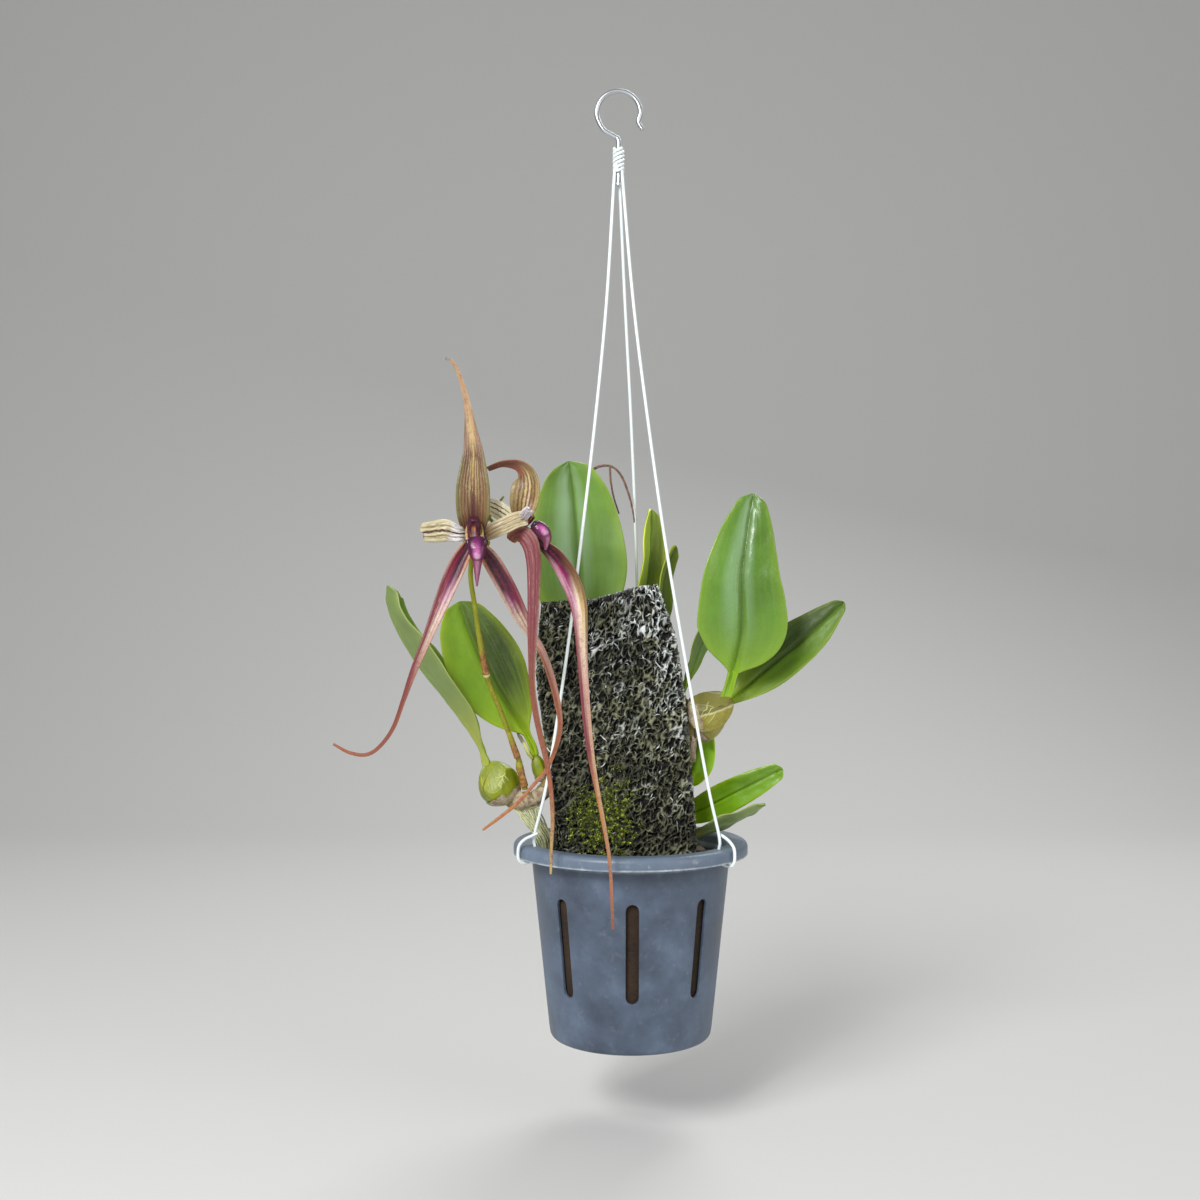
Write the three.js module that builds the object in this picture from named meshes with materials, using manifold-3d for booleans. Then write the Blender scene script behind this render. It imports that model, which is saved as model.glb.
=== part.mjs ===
// A bulbophyllum orchid in flower. It creeps over a slab of tree-fern fibre that stands in a grey
// plastic pot, and three stiff wires and a hook hang the pot. Millimetres, +Z up.
// The plant and pot are laid out from the pot's axis, with z = 0 at the top of the rim and the
// flowers on the -Y side. The whole is then moved so that the hook's bearing point is the origin.
import * as THREE from 'three';
import { mergeVertices } from 'three/addons/utils/BufferGeometryUtils.js';
import Module from 'manifold-3d';

const wasm = await Module();
wasm.setup();

// ---------------------------------------------------------------- driving dimensions

const GAP = 0.35; // clear space between pieces that touch on the real plant

const pot = {
  rimRadius: 75, // outside of the rim: a 150 mm pot
  neckRadius: 63.4, // outside of the body just under the rim
  baseRadius: 51.4,
  height: 125,
  wall: 1.6,
  rimDrop: 8, // height of the rim's skirt
  slots: 8,
  slotWidth: 8,
  slotTop: -30,
  slotBottom: -92,
  drains: 6,
  drainRadius: 4,
  drainCircle: 32,
  wireHoleRadius: 1.9,
  sides: 32,
};

const wire = { radius: 1, holeCircle: 66.4, sides: 6 };

const hook = {
  x: -7.7, y: -2, radius: 1.5, bendRadius: 14, bendHeight: 467,
  wrapBottom: 428, wrapHeight: 16, wraps: 2, wrapSteps: 8,
};
hook.bearing = hook.bendHeight + hook.bendRadius - hook.radius;

const mix = { top: -13, bottom: -121.8, chips: 18 };

// Corners of the slab seen from the front, and its leaning front face.
const slab = {
  bottom: -66,
  left: [[-66, -44], [0, -49], [56, -54], [100, -60], [118, -60.5], [156, -57]],
  right: [[-66, 40], [0, 42], [57, 38.5], [107, 33], [131, 29], [164, 17.5]],
  top: [[-57, 153], [-25, 155], [4, 163], [18, 164.5]],
  front: -21.5,
  frontLean: 0.045,
  back: 8,
  roughness: 1.3,
  fibres: 22,
  cells: [8, 3, 16],
};

// ---------------------------------------------------------------- solids and trimming

const colours = {
  pot: '#5a6269', mix: '#3a2a1c', fibre: '#2b2a26', wire: '#e4ebeb', hook: '#c9cfd0',
  rhizome: '#8a7a5c', root: '#c3cfa2', bulb: '#8f9a35', bulbOld: '#8d8742', leaf: '#5f9a3f',
  leafPale: '#9db36f', stalk: '#a9b437', sepal: '#a4885a', tail: '#a8434c', petal: '#dcd7b0',
  column: '#5b1238', lip: '#8c2672', dried: '#7d6250',
};

function solidOf(geometry) {
  const bare = geometry.clone();
  bare.deleteAttribute('normal');
  bare.deleteAttribute('uv');
  const joined = mergeVertices(bare, 1e-4);
  return new wasm.Manifold(new wasm.Mesh({
    numProp: 3,
    vertProperties: new Float32Array(joined.attributes.position.array),
    triVerts: new Uint32Array(joined.index.array),
  }));
}

function geometryOf(solid) {
  const mesh = solid.getMesh();
  const geometry = new THREE.BufferGeometry();
  geometry.setAttribute('position', new THREE.BufferAttribute(mesh.vertProperties, 3));
  geometry.setIndex(new THREE.BufferAttribute(mesh.triVerts, 1));
  geometry.computeVertexNormals();
  return geometry;
}

// The piece less its neighbours. Scraps that the cut leaves loose are dropped.
function trimmed(piece, neighbours) {
  let rest = piece;
  for (const neighbour of neighbours) {
    rest = rest.subtract(neighbour);
  }
  const parts = rest.decompose();
  return parts.reduce((most, part) => (part.volume() > most.volume() ? part : most));
}

const joined = (first, ...others) => others.reduce((sum, solid) => sum.add(solid), first);

const vector = (p) => new THREE.Vector3(p[0], p[1], p[2]);

// A repeatable draw between low and high.
function drawFrom(seed) {
  let state = seed;
  return (low, high) => {
    state = (state * 1664525 + 1013904223) % 4294967296;
    return low + ((high - low) * state) / 4294967296;
  };
}

// A value read off a broken line of [position, value] corners.
function along(line, position) {
  let k = 1;
  while (k < line.length - 1 && line[k][0] < position) {
    k += 1;
  }
  const [from, to] = [line[k - 1], line[k]];
  return from[1] + ((to[1] - from[1]) * (position - from[0])) / (to[0] - from[0]);
}

// One closed skin over a row of rings. Each ring runs along the upper side and back along the
// under side, and both sides are split into triangles alike.
function skinOver(rings) {
  const count = rings[0].length;
  const half = count / 2;
  const last = (rings.length - 1) * count;
  const index = [];
  for (let i = 0; i < rings.length - 1; i += 1) {
    for (let k = 0; k < count; k += 1) {
      const a = i * count + k;
      const b = i * count + ((k + 1) % count);
      const [c, d] = [b + count, a + count];
      index.push(...(k < half ? [a, b, c, a, c, d] : [a, b, d, b, c, d]));
    }
  }
  for (let k = 0; k < half - 1; k += 1) {
    const [a, b, c, d] = [k, k + 1, count - 2 - k, count - 1 - k];
    index.push(b, a, d, b, d, c);
    index.push(last + a, last + b, last + c, last + a, last + c, last + d);
  }
  const geometry = new THREE.BufferGeometry();
  const positions = rings.flat().flatMap((p) => [p.x, p.y, p.z]);
  geometry.setAttribute('position', new THREE.Float32BufferAttribute(positions, 3));
  geometry.setIndex(index);
  const solid = solidOf(geometry);
  if (solid.volume() > 0) {
    return solid;
  }
  geometry.setIndex(index.reverse());
  return solidOf(geometry);
}

// A smooth row of points through the given ones, each with any further numbers of its row.
function smoothRows(rows, steps) {
  const width = rows[0].length;
  const curves = [];
  for (let k = 0; k < width; k += 3) {
    const points = rows.map((r) => new THREE.Vector3(r[k], r[k + 1] ?? 0, r[k + 2] ?? 0));
    curves.push(new THREE.CatmullRomCurve3(points, false, 'catmullrom', 0.5));
  }
  return Array.from({ length: steps + 1 }, (_, i) => (
    curves.flatMap((curve) => curve.getPoint(i / steps).toArray()).slice(0, width)
  ));
}

function tangentsOf(points) {
  const end = points.length - 1;
  return points.map((_, i) => (
    points[Math.min(i + 1, end)].clone().sub(points[Math.max(i - 1, 0)]).normalize()
  ));
}

// A round or oval stem: rows of [x, y, z, radius, depth], where depth is the radius across.
// The section's first axis stays level for as long as the stem allows.
function stem(rows, { steps = rows.length - 1, sides = 8, grow = 0 } = {}) {
  const full = smoothRows(rows.map((r) => [r[0], r[1], r[2], r[3], r[4] ?? r[3], 0]), steps);
  const centres = full.map(vector);
  const tangents = tangentsOf(centres);
  let across = new THREE.Vector3(1, 0, 0);
  const rings = centres.map((centre, i) => {
    across = across.clone().addScaledVector(tangents[i], -across.dot(tangents[i])).normalize();
    const over = tangents[i].clone().cross(across);
    return Array.from({ length: sides }, (_, k) => {
      const turn = (2 * Math.PI * (k + 0.5)) / sides;
      return centre.clone()
        .addScaledVector(across, Math.cos(turn) * (full[i][3] + grow))
        .addScaledVector(over, Math.sin(turn) * (full[i][4] + grow));
    });
  });
  return skinOver(rings);
}

// A leaf, sepal or petal: rows of [x, y, z, half width, roll]. At roll 0 its upper face looks to
// -Y. fold is the angle of each half to the flat, cup the lift of the edges as a share of the
// half width, and ripple the height of the waves along the edges.
function blade(rows, shape = {}, grow = 0) {
  const { steps = 2 * rows.length, columns = 4, thick = 1.1, fold = 0, cup = 0, ripple = 0 } = shape;
  const full = smoothRows(rows.map((r) => [r[0], r[1], r[2], r[3], r[4] ?? 0, 0]), steps);
  const centres = full.map(vector);
  const tangents = tangentsOf(centres);
  const tilt = THREE.MathUtils.degToRad(fold);
  const middle = full.map((row, i) => {
    const roll = THREE.MathUtils.degToRad(row[4]);
    const front = new THREE.Vector3(0, -1, 0);
    front.addScaledVector(tangents[i], -front.dot(tangents[i])).normalize();
    const side = tangents[i].clone().cross(front);
    const face = front.clone().multiplyScalar(Math.cos(roll)).addScaledVector(side, Math.sin(roll));
    const across = tangents[i].clone().cross(face);
    const half = Math.max(row[3], 0.5) + grow;
    return Array.from({ length: columns + 1 }, (_, j) => {
      const s = (2 * j) / columns - 1;
      const wave = ripple * Math.sin(i * 1.9 + (s > 0 ? 1.3 : 0)) * s * s * Math.min(1, half / 12);
      const lift = half * (Math.abs(s) * Math.sin(tilt) + cup * s * s) + wave;
      return centres[i].clone()
        .addScaledVector(across, s * half * Math.cos(tilt))
        .addScaledVector(face, lift);
    });
  });
  const rings = middle.map((line, i) => {
    const next = middle[Math.min(i + 1, steps)];
    const before = middle[Math.max(i - 1, 0)];
    const normals = line.map((_, j) => {
      const along1 = next[j].clone().sub(before[j]);
      const across1 = line[Math.min(j + 1, columns)].clone().sub(line[Math.max(j - 1, 0)]);
      return across1.cross(along1).normalize().multiplyScalar(thick / 2 + grow);
    });
    const upper = line.map((p, j) => p.clone().add(normals[j]));
    const under = line.map((p, j) => p.clone().sub(normals[j]));
    return [...upper, ...under.reverse()];
  });
  return skinOver(rings);
}

// ---------------------------------------------------------------- scene graph

const plant = new THREE.Group();
plant.position.set(-hook.x, -hook.y, -hook.bearing);

function addPiece(name, solid, colour, roughness = 0.6, metalness = 0) {
  const material = new THREE.MeshStandardMaterial({ color: colour, roughness, metalness });
  const mesh = new THREE.Mesh(geometryOf(solid), material);
  mesh.name = name;
  plant.add(mesh);
}

// ---------------------------------------------------------------- pot

const wireTurns = { left: 204.5, right: 324.5, back: 84.5 };

// An upright round cutter with its middle at x, y, z.
function drill(x, y, z, radius, length = 12) {
  const geometry = new THREE.CylinderGeometry(radius, radius, length, 10);
  geometry.rotateX(Math.PI / 2);
  geometry.translate(x, y, z);
  return solidOf(geometry);
}

// A drainage slot in the pot's side, cut from the axis outwards.
function slotCutter(turn) {
  const half = pot.slotWidth / 2;
  const outline = new THREE.Shape();
  outline.absarc(0, pot.slotTop - half, half, 0, Math.PI);
  outline.absarc(0, pot.slotBottom + half, half, Math.PI, 2 * Math.PI);
  const geometry = new THREE.ExtrudeGeometry(outline, {
    depth: pot.rimRadius, bevelEnabled: false, curveSegments: 3,
  });
  geometry.rotateX(Math.PI / 2);
  geometry.rotateZ(turn);
  return solidOf(geometry);
}

function potSolid() {
  const { rimRadius, neckRadius, baseRadius, height, wall, rimDrop, sides } = pot;
  const profile = [
    [0, -height], [baseRadius - 1, -height], [baseRadius, -height + 1], [neckRadius, -rimDrop - 1],
    [neckRadius + 0.2, -2.9], [rimRadius - 2.6, -2.9], [rimRadius - 1.8, -3.8],
    [rimRadius - 1.4, -rimDrop], [rimRadius + 0.1, -rimDrop], [rimRadius, -2.6],
    [rimRadius - 0.9, -0.7], [rimRadius - 3, 0], [neckRadius + 1.2, 0], [neckRadius - 1, -1.2],
    [neckRadius - wall, -4], [neckRadius - wall, -rimDrop - 1], [baseRadius - wall, -height + 3],
    [baseRadius - wall - 1.5, -height + 2], [0, -height + 2],
  ].map(([r, z]) => new THREE.Vector2(r, z));
  const turned = new THREE.LatheGeometry(profile, sides);
  turned.rotateX(Math.PI / 2);
  let solid = solidOf(turned);
  if (solid.volume() < 0) {
    turned.setIndex([...turned.index.array].reverse());
    solid = solidOf(turned);
  }
  for (const degrees of Object.values(wireTurns)) {
    const turn = THREE.MathUtils.degToRad(degrees);
    const [x, y] = [wire.holeCircle * Math.cos(turn), wire.holeCircle * Math.sin(turn)];
    solid = solid.subtract(drill(x, y, 0, pot.wireHoleRadius));
  }
  for (let k = 0; k < pot.drains; k += 1) {
    const turn = (2 * Math.PI * (k + 0.5)) / pot.drains;
    const [x, y] = [pot.drainCircle * Math.cos(turn), pot.drainCircle * Math.sin(turn)];
    solid = solid.subtract(drill(x, y, -pot.height, pot.drainRadius));
  }
  for (let k = 0; k < pot.slots; k += 1) {
    solid = solid.subtract(slotCutter((2 * Math.PI * k) / pot.slots));
  }
  return solid;
}

addPiece('pot', potSolid(), colours.pot, 0.45);

// ---------------------------------------------------------------- fern slab

// The slab's block before its plants' seats are cut: a grid of cells pulled to the outline, with
// every corner of every cell pushed in or out.
function slabBlock(grow) {
  const draw = drawFrom(7);
  const box = new THREE.BoxGeometry(1, 1, 1, ...slab.cells);
  box.deleteAttribute('normal');
  box.deleteAttribute('uv');
  const geometry = mergeVertices(box);
  const corners = geometry.attributes.position;
  const [topFrom, topTo] = [slab.top[0][0], slab.top.at(-1)[0]];
  const point = new THREE.Vector3();
  for (let k = 0; k < corners.count; k += 1) {
    point.fromBufferAttribute(corners, k);
    const [across, deep, up] = [point.x + 0.5, point.y + 0.5, point.z + 0.5];
    const topHere = along(slab.top, topFrom + (topTo - topFrom) * across);
    const z = slab.bottom + (topHere - slab.bottom) * up;
    const left = along(slab.left, z) - grow;
    const right = along(slab.right, z) + grow;
    const front = slab.front + slab.frontLean * Math.max(z, 0) - grow;
    const buried = z < 0;
    const rough = buried ? 0 : slab.roughness;
    corners.setXYZ(
      k,
      left + (right - left) * across + draw(-rough, rough),
      front + (slab.back + grow - front) * deep + draw(-rough, rough),
      z + (up === 0 ? -grow : 0) + draw(-rough, rough),
    );
  }
  return solidOf(geometry);
}

// A wiry fibre that leaves the slab's face, arches and dives back in.
function slabFibre(draw) {
  const z = draw(8, 146);
  const onSide = draw(0, 1);
  const front = slab.front + slab.frontLean * z;
  const [left, right] = [along(slab.left, z), along(slab.right, z)];
  const reach = draw(5, 10);
  const lean = draw(-Math.PI, Math.PI);
  const step = new THREE.Vector3(Math.cos(lean), 0, Math.sin(lean));
  const out = new THREE.Vector3(0, -1, 0);
  const start = new THREE.Vector3(draw(left + 9, right - 9), front + 2, z);
  if (onSide < 0.35) {
    step.set(0, Math.cos(lean), Math.sin(lean));
    out.set(onSide < 0.17 ? -1 : 1, 0, 0);
    start.set(onSide < 0.17 ? left + 2 : right - 2, draw(-12, 0), z);
  } else if (onSide < 0.6) {
    out.set(0, 1, 0);
    start.y = slab.back - 2;
  }
  const heights = [-2.6, 3.1, 3.7, 1.4, -2.2];
  return stem(heights.map((height, i) => {
    const p = start.clone().addScaledVector(step, (reach * i) / 4).addScaledVector(out, height);
    return [p.x, p.y, p.z, 0.8];
  }), { sides: 4 });
}

const slabDraw = drawFrom(11);
const slabFibres = Array.from({ length: slab.fibres }, () => slabFibre(slabDraw));

// ---------------------------------------------------------------- rhizomes, roots and bulbs

const rhizomeRows = {
  rhizome_left: [
    [-79, -15, 27, 3], [-74, -14, 26, 4.4], [-68, -13, 27, 5.2], [-62, -12, 28, 4.2],
    [-57, -11, 31, 4.6], [-54, -10, 36, 3.4], [-53.5, -9, 41, 2.6],
  ],
  rhizome_right: [
    [39.5, -7, 50, 2], [38.5, -6, 60, 3], [37.5, -5, 70, 3.6], [36.5, -4, 80, 3.4], [34.5, -2, 90, 2.2],
  ],
  rhizome_back: [
    [26, 10, -10, 2.4], [27, 10.5, 8, 3], [27, 10.5, 30, 2.8], [26, 10.5, 56, 3], [21, 10.5, 80, 3.2],
    [6, 10.5, 90, 3], [-10, 10.5, 92, 3.2], [-27, 10.5, 86, 2.6],
  ],
};

const rhizomes = {};
const rhizomeCutters = [];
for (const [name, rows] of Object.entries(rhizomeRows)) {
  rhizomes[name] = stem(rows);
  rhizomeCutters.push(stem(rows, { grow: GAP }));
}

// Pale strands from the left rhizome, over the slab's lower edge and down to the potting mix.
function rootStrands(grow) {
  const mat = stem([[-78, -14, 22, 1.6], [-70, -13, 20.5, 2.6], [-61, -12, 22.5, 2.8], [-56, -11, 25, 2]], {
    steps: 4, grow,
  });
  const strands = Array.from({ length: 6 }, (_, k) => {
    const spread = k - 2.5;
    return stem([
      [-66 + 2.6 * spread, -12.5, 21, 1.3],
      [-61 + 1.9 * spread, -13 + 1.6 * spread, 13.5, 1.1],
      [-55 + 1.1 * spread, -12 + 2.6 * spread, 3, 1],
      [-52.5 + 0.6 * spread, -11 + 3 * spread, mix.top + 2, 0.8],
    ], { steps: 4, sides: 4, grow });
  });
  return joined(mat, ...strands);
}

const roots = trimmed(rootStrands(0), rhizomeCutters);
const rootCutter = rootStrands(GAP);

// A pseudobulb: an egg with shallow ribs along it. size is its half width, half depth and half
// length, and lean tips its long axis away from upright, in degrees about Y and about X.
function bulb({ centre, size, lean = [0, 0], ribs = 6, grow = 0 }) {
  const geometry = new THREE.SphereGeometry(1, 12, 7);
  geometry.rotateX(Math.PI / 2);
  const corners = geometry.attributes.position;
  for (let k = 0; k < corners.count; k += 1) {
    const [x, y, z] = [corners.getX(k), corners.getY(k), corners.getZ(k)];
    const turn = Math.atan2(y, x);
    const waist = 1 - 0.16 * z;
    const rib = 1 + 0.045 * Math.cos(ribs * turn) * (1 - z * z);
    corners.setXYZ(
      k,
      x * waist * rib * (size[0] + grow),
      y * waist * rib * (size[1] + grow),
      z * (size[2] + grow),
    );
  }
  geometry.rotateY(THREE.MathUtils.degToRad(lean[0]));
  geometry.rotateX(THREE.MathUtils.degToRad(lean[1]));
  geometry.translate(...centre);
  return solidOf(geometry);
}

const bulbs = {
  bulb_left: { centre: [-84, -14, 38], size: [13, 11.5, 14.5], lean: [-24, 0] },
  bulb_left_young: { centre: [-58.5, -9, 47], size: [4.6, 4.6, 9], lean: [-16, 0] },
  bulb_right: { centre: [51, -9, 84], size: [12.5, 12, 15.5], lean: [66, 0], old: true },
  bulb_right_rear: { centre: [51, 4, 74], size: [9, 9, 13], lean: [50, 0] },
  bulb_back_left: { centre: [-27, 19, 98], size: [9, 8, 13], lean: [-8, 0] },
  bulb_back_middle: { centre: [-4, 19, 101], size: [7.5, 7.5, 11] },
  bulb_back_right: { centre: [14, 19, 97], size: [7.5, 7.5, 11], lean: [14, 0] },
  bulb_back_upper: { centre: [31, 17, 84], size: [6, 6.5, 10], lean: [24, 0] },
  bulb_back_inner: { centre: [30, 19, 23], size: [6, 6, 8.5], lean: [20, 0] },
  bulb_back_low: { centre: [22, 19, 8], size: [6, 6, 8.5], lean: [50, 0] },
  bulb_back_lowest: { centre: [22, 20, -5], size: [5, 6, 6.5], lean: [70, 0] },
};

// ---------------------------------------------------------------- leaves

// Each leaf's path runs from the top of its bulb to its tip. half is its greatest half width, widest
// is where along the blade that is, and stalk the share of the path that is leaf stalk, whose half
// width is foot. tip holds the two powers that shape the blade beyond its widest place.
const leaves = {
  leaf_left_edge: {
    path: [[-92, -13, 49], [-98, -16, 65], [-114, -20, 88], [-137, -26, 119], [-151, -30, 147],
      [-152, -31, 163]],
    half: 21, widest: 0.5, stalk: 0.08, foot: 3.8, tip: [2, 0.5], roll: 92, fold: 36, pale: true,
  },
  leaf_left_front: {
    path: [[-61, -9, 55], [-66, -10, 68], [-86, -9, 98], [-102, -5, 130], [-110, 0, 153]],
    half: 25, widest: 0.52, stalk: 0.13, foot: 2.6, tip: [2, 0.6], roll: 14, fold: 14,
  },
  leaf_back_broad: {
    path: [[-28, 19, 108], [-31, 21, 128], [-34, 24, 180], [-37, 22, 220], [-40, 17, 245]],
    half: 32, widest: 0.42, stalk: 0.12, foot: 2.8, tip: [2, 0.52], roll: 4, fold: 9,
  },
  leaf_back_edge: {
    path: [[-2, 19, 109.5], [7, 22, 145], [12.2, 23, 180], [13.4, 21, 214]],
    half: 15, widest: 0.6, stalk: 0.2, foot: 2.4, tip: [2, 0.55], roll: 54, fold: 20,
  },
  leaf_back_narrow: {
    path: [[16, 19, 105], [19.5, 19.2, 130], [20.5, 19.7, 155], [22.5, 19.6, 172], [29.6, 19, 190]],
    half: 10.8, widest: 0.5, stalk: 0.16, foot: 2.2, tip: [2, 0.8], roll: 60, fold: 16,
  },
  leaf_right_broad: {
    path: [[59, -10, 89], [63, -13, 101], [69.5, -22, 135], [69.3, -25, 170], [77, -20, 221]],
    half: 29, widest: 0.3, stalk: 0.145, foot: 3.4, tip: [1.25, 0.62], roll: 0, fold: 9,
  },
  leaf_right_rear: {
    path: [[60, 4, 82], [65.5, 4, 89], [87.5, 6, 108], [113.5, 8, 129], [138.6, 6, 152.4]],
    half: 16.4, widest: 0.45, stalk: 0.07, foot: 2.8, tip: [1.9, 0.85], roll: -24, fold: 14,
  },
  leaf_right_hidden: {
    path: [[34, 17, 92], [44, 12, 122], [55, 9, 145], [68, 8, 172]],
    half: 14, widest: 0.5, stalk: 0.12, foot: 2.4, tip: [2, 0.8], roll: 62, fold: 10,
  },
  leaf_right_inner: {
    path: [[33, 19, 30], [38, 18, 38], [43, 17, 54], [45, 17, 80]],
    half: 13.5, widest: 0.36, stalk: 0.06, foot: 3.2, tip: [2, 0.7], roll: -10, fold: 8,
  },
  leaf_right_low: {
    path: [[28, 19, 11], [46, 14, 17], [70, 1, 31], [97, -8, 46]],
    half: 10.5, widest: 0.42, stalk: 0.04, foot: 3.6, tip: [2, 0.7], roll: -6, fold: 10,
  },
  leaf_right_lowest: {
    path: [[28, 20, -3], [46, 14, 1], [67, 4, 11], [86, -5, 23]],
    half: 10, widest: 0.5, stalk: 0.08, foot: 2.6, tip: [2, 0.8], roll: -125, fold: 14, pale: true,
  },
};

// A leaf's half width as a share of its widest, from 0 at the blade's foot to 1 at its tip.
function leafFullness(share, widest, [bend, blunt]) {
  if (share < widest) {
    return 1 - ((widest - share) / widest) ** 2;
  }
  return (1 - ((share - widest) / (1 - widest)) ** bend) ** blunt;
}

function leafSolid({ path, half, widest, stalk, foot, tip, roll, fold }) {
  const stations = [0, 0.4 * stalk, stalk, 0.17, 0.25, 0.36, 0.48, 0.6, 0.72, 0.83, 0.92, 0.97, 1];
  const line = new THREE.CatmullRomCurve3(path.map(vector), false, 'catmullrom', 0.5);
  const rows = stations.map((t) => {
    const share = Math.max(0, (t - stalk) / (1 - stalk));
    const width = foot + (half - foot) * leafFullness(share, widest, tip);
    return [...line.getPointAt(t).toArray(), t === 1 ? 1.2 : width, roll];
  });
  return blade(rows, { steps: rows.length - 1, thick: 1.5, fold, ripple: 0.9 });
}

// ---------------------------------------------------------------- flower stalk

const stalkRows = [
  [-67, -17, 34, 1.9], [-70, -19, 50, 1.7], [-74, -22, 62, 1.6], [-82, -29, 85, 1.6],
  [-90, -38, 108, 1.7], [-94, -46, 133, 1.6], [-96, -53, 151, 1.5], [-98, -58, 169, 1.5],
  [-96, -60, 184, 1.4], [-91, -59, 197, 1.3], [-84, -57, 209, 1.1], [-78, -55, 217, 0.6],
];

// Papery sleeves round the stalk at its nodes.
const stalkSleeves = [
  [[-67.4, -17.4, 36, 2.6], [-69.2, -18.6, 45, 2.3], [-70.6, -19.4, 51, 1.9]],
  [[-72, -20.6, 56, 2.3], [-74, -22, 62, 2.1], [-76, -24, 68, 1.8]],
  [[-90, -38, 108, 2.5], [-91.5, -40.8, 116, 2.2], [-93.2, -44.5, 128, 1.9]],
];

function flowerStalk(grow) {
  const sleeves = stalkSleeves.map((rows) => stem(rows, { grow }));
  return joined(stem(stalkRows, { steps: 15, sides: 6, grow }), ...sleeves);
}

// ---------------------------------------------------------------- flowers

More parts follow.
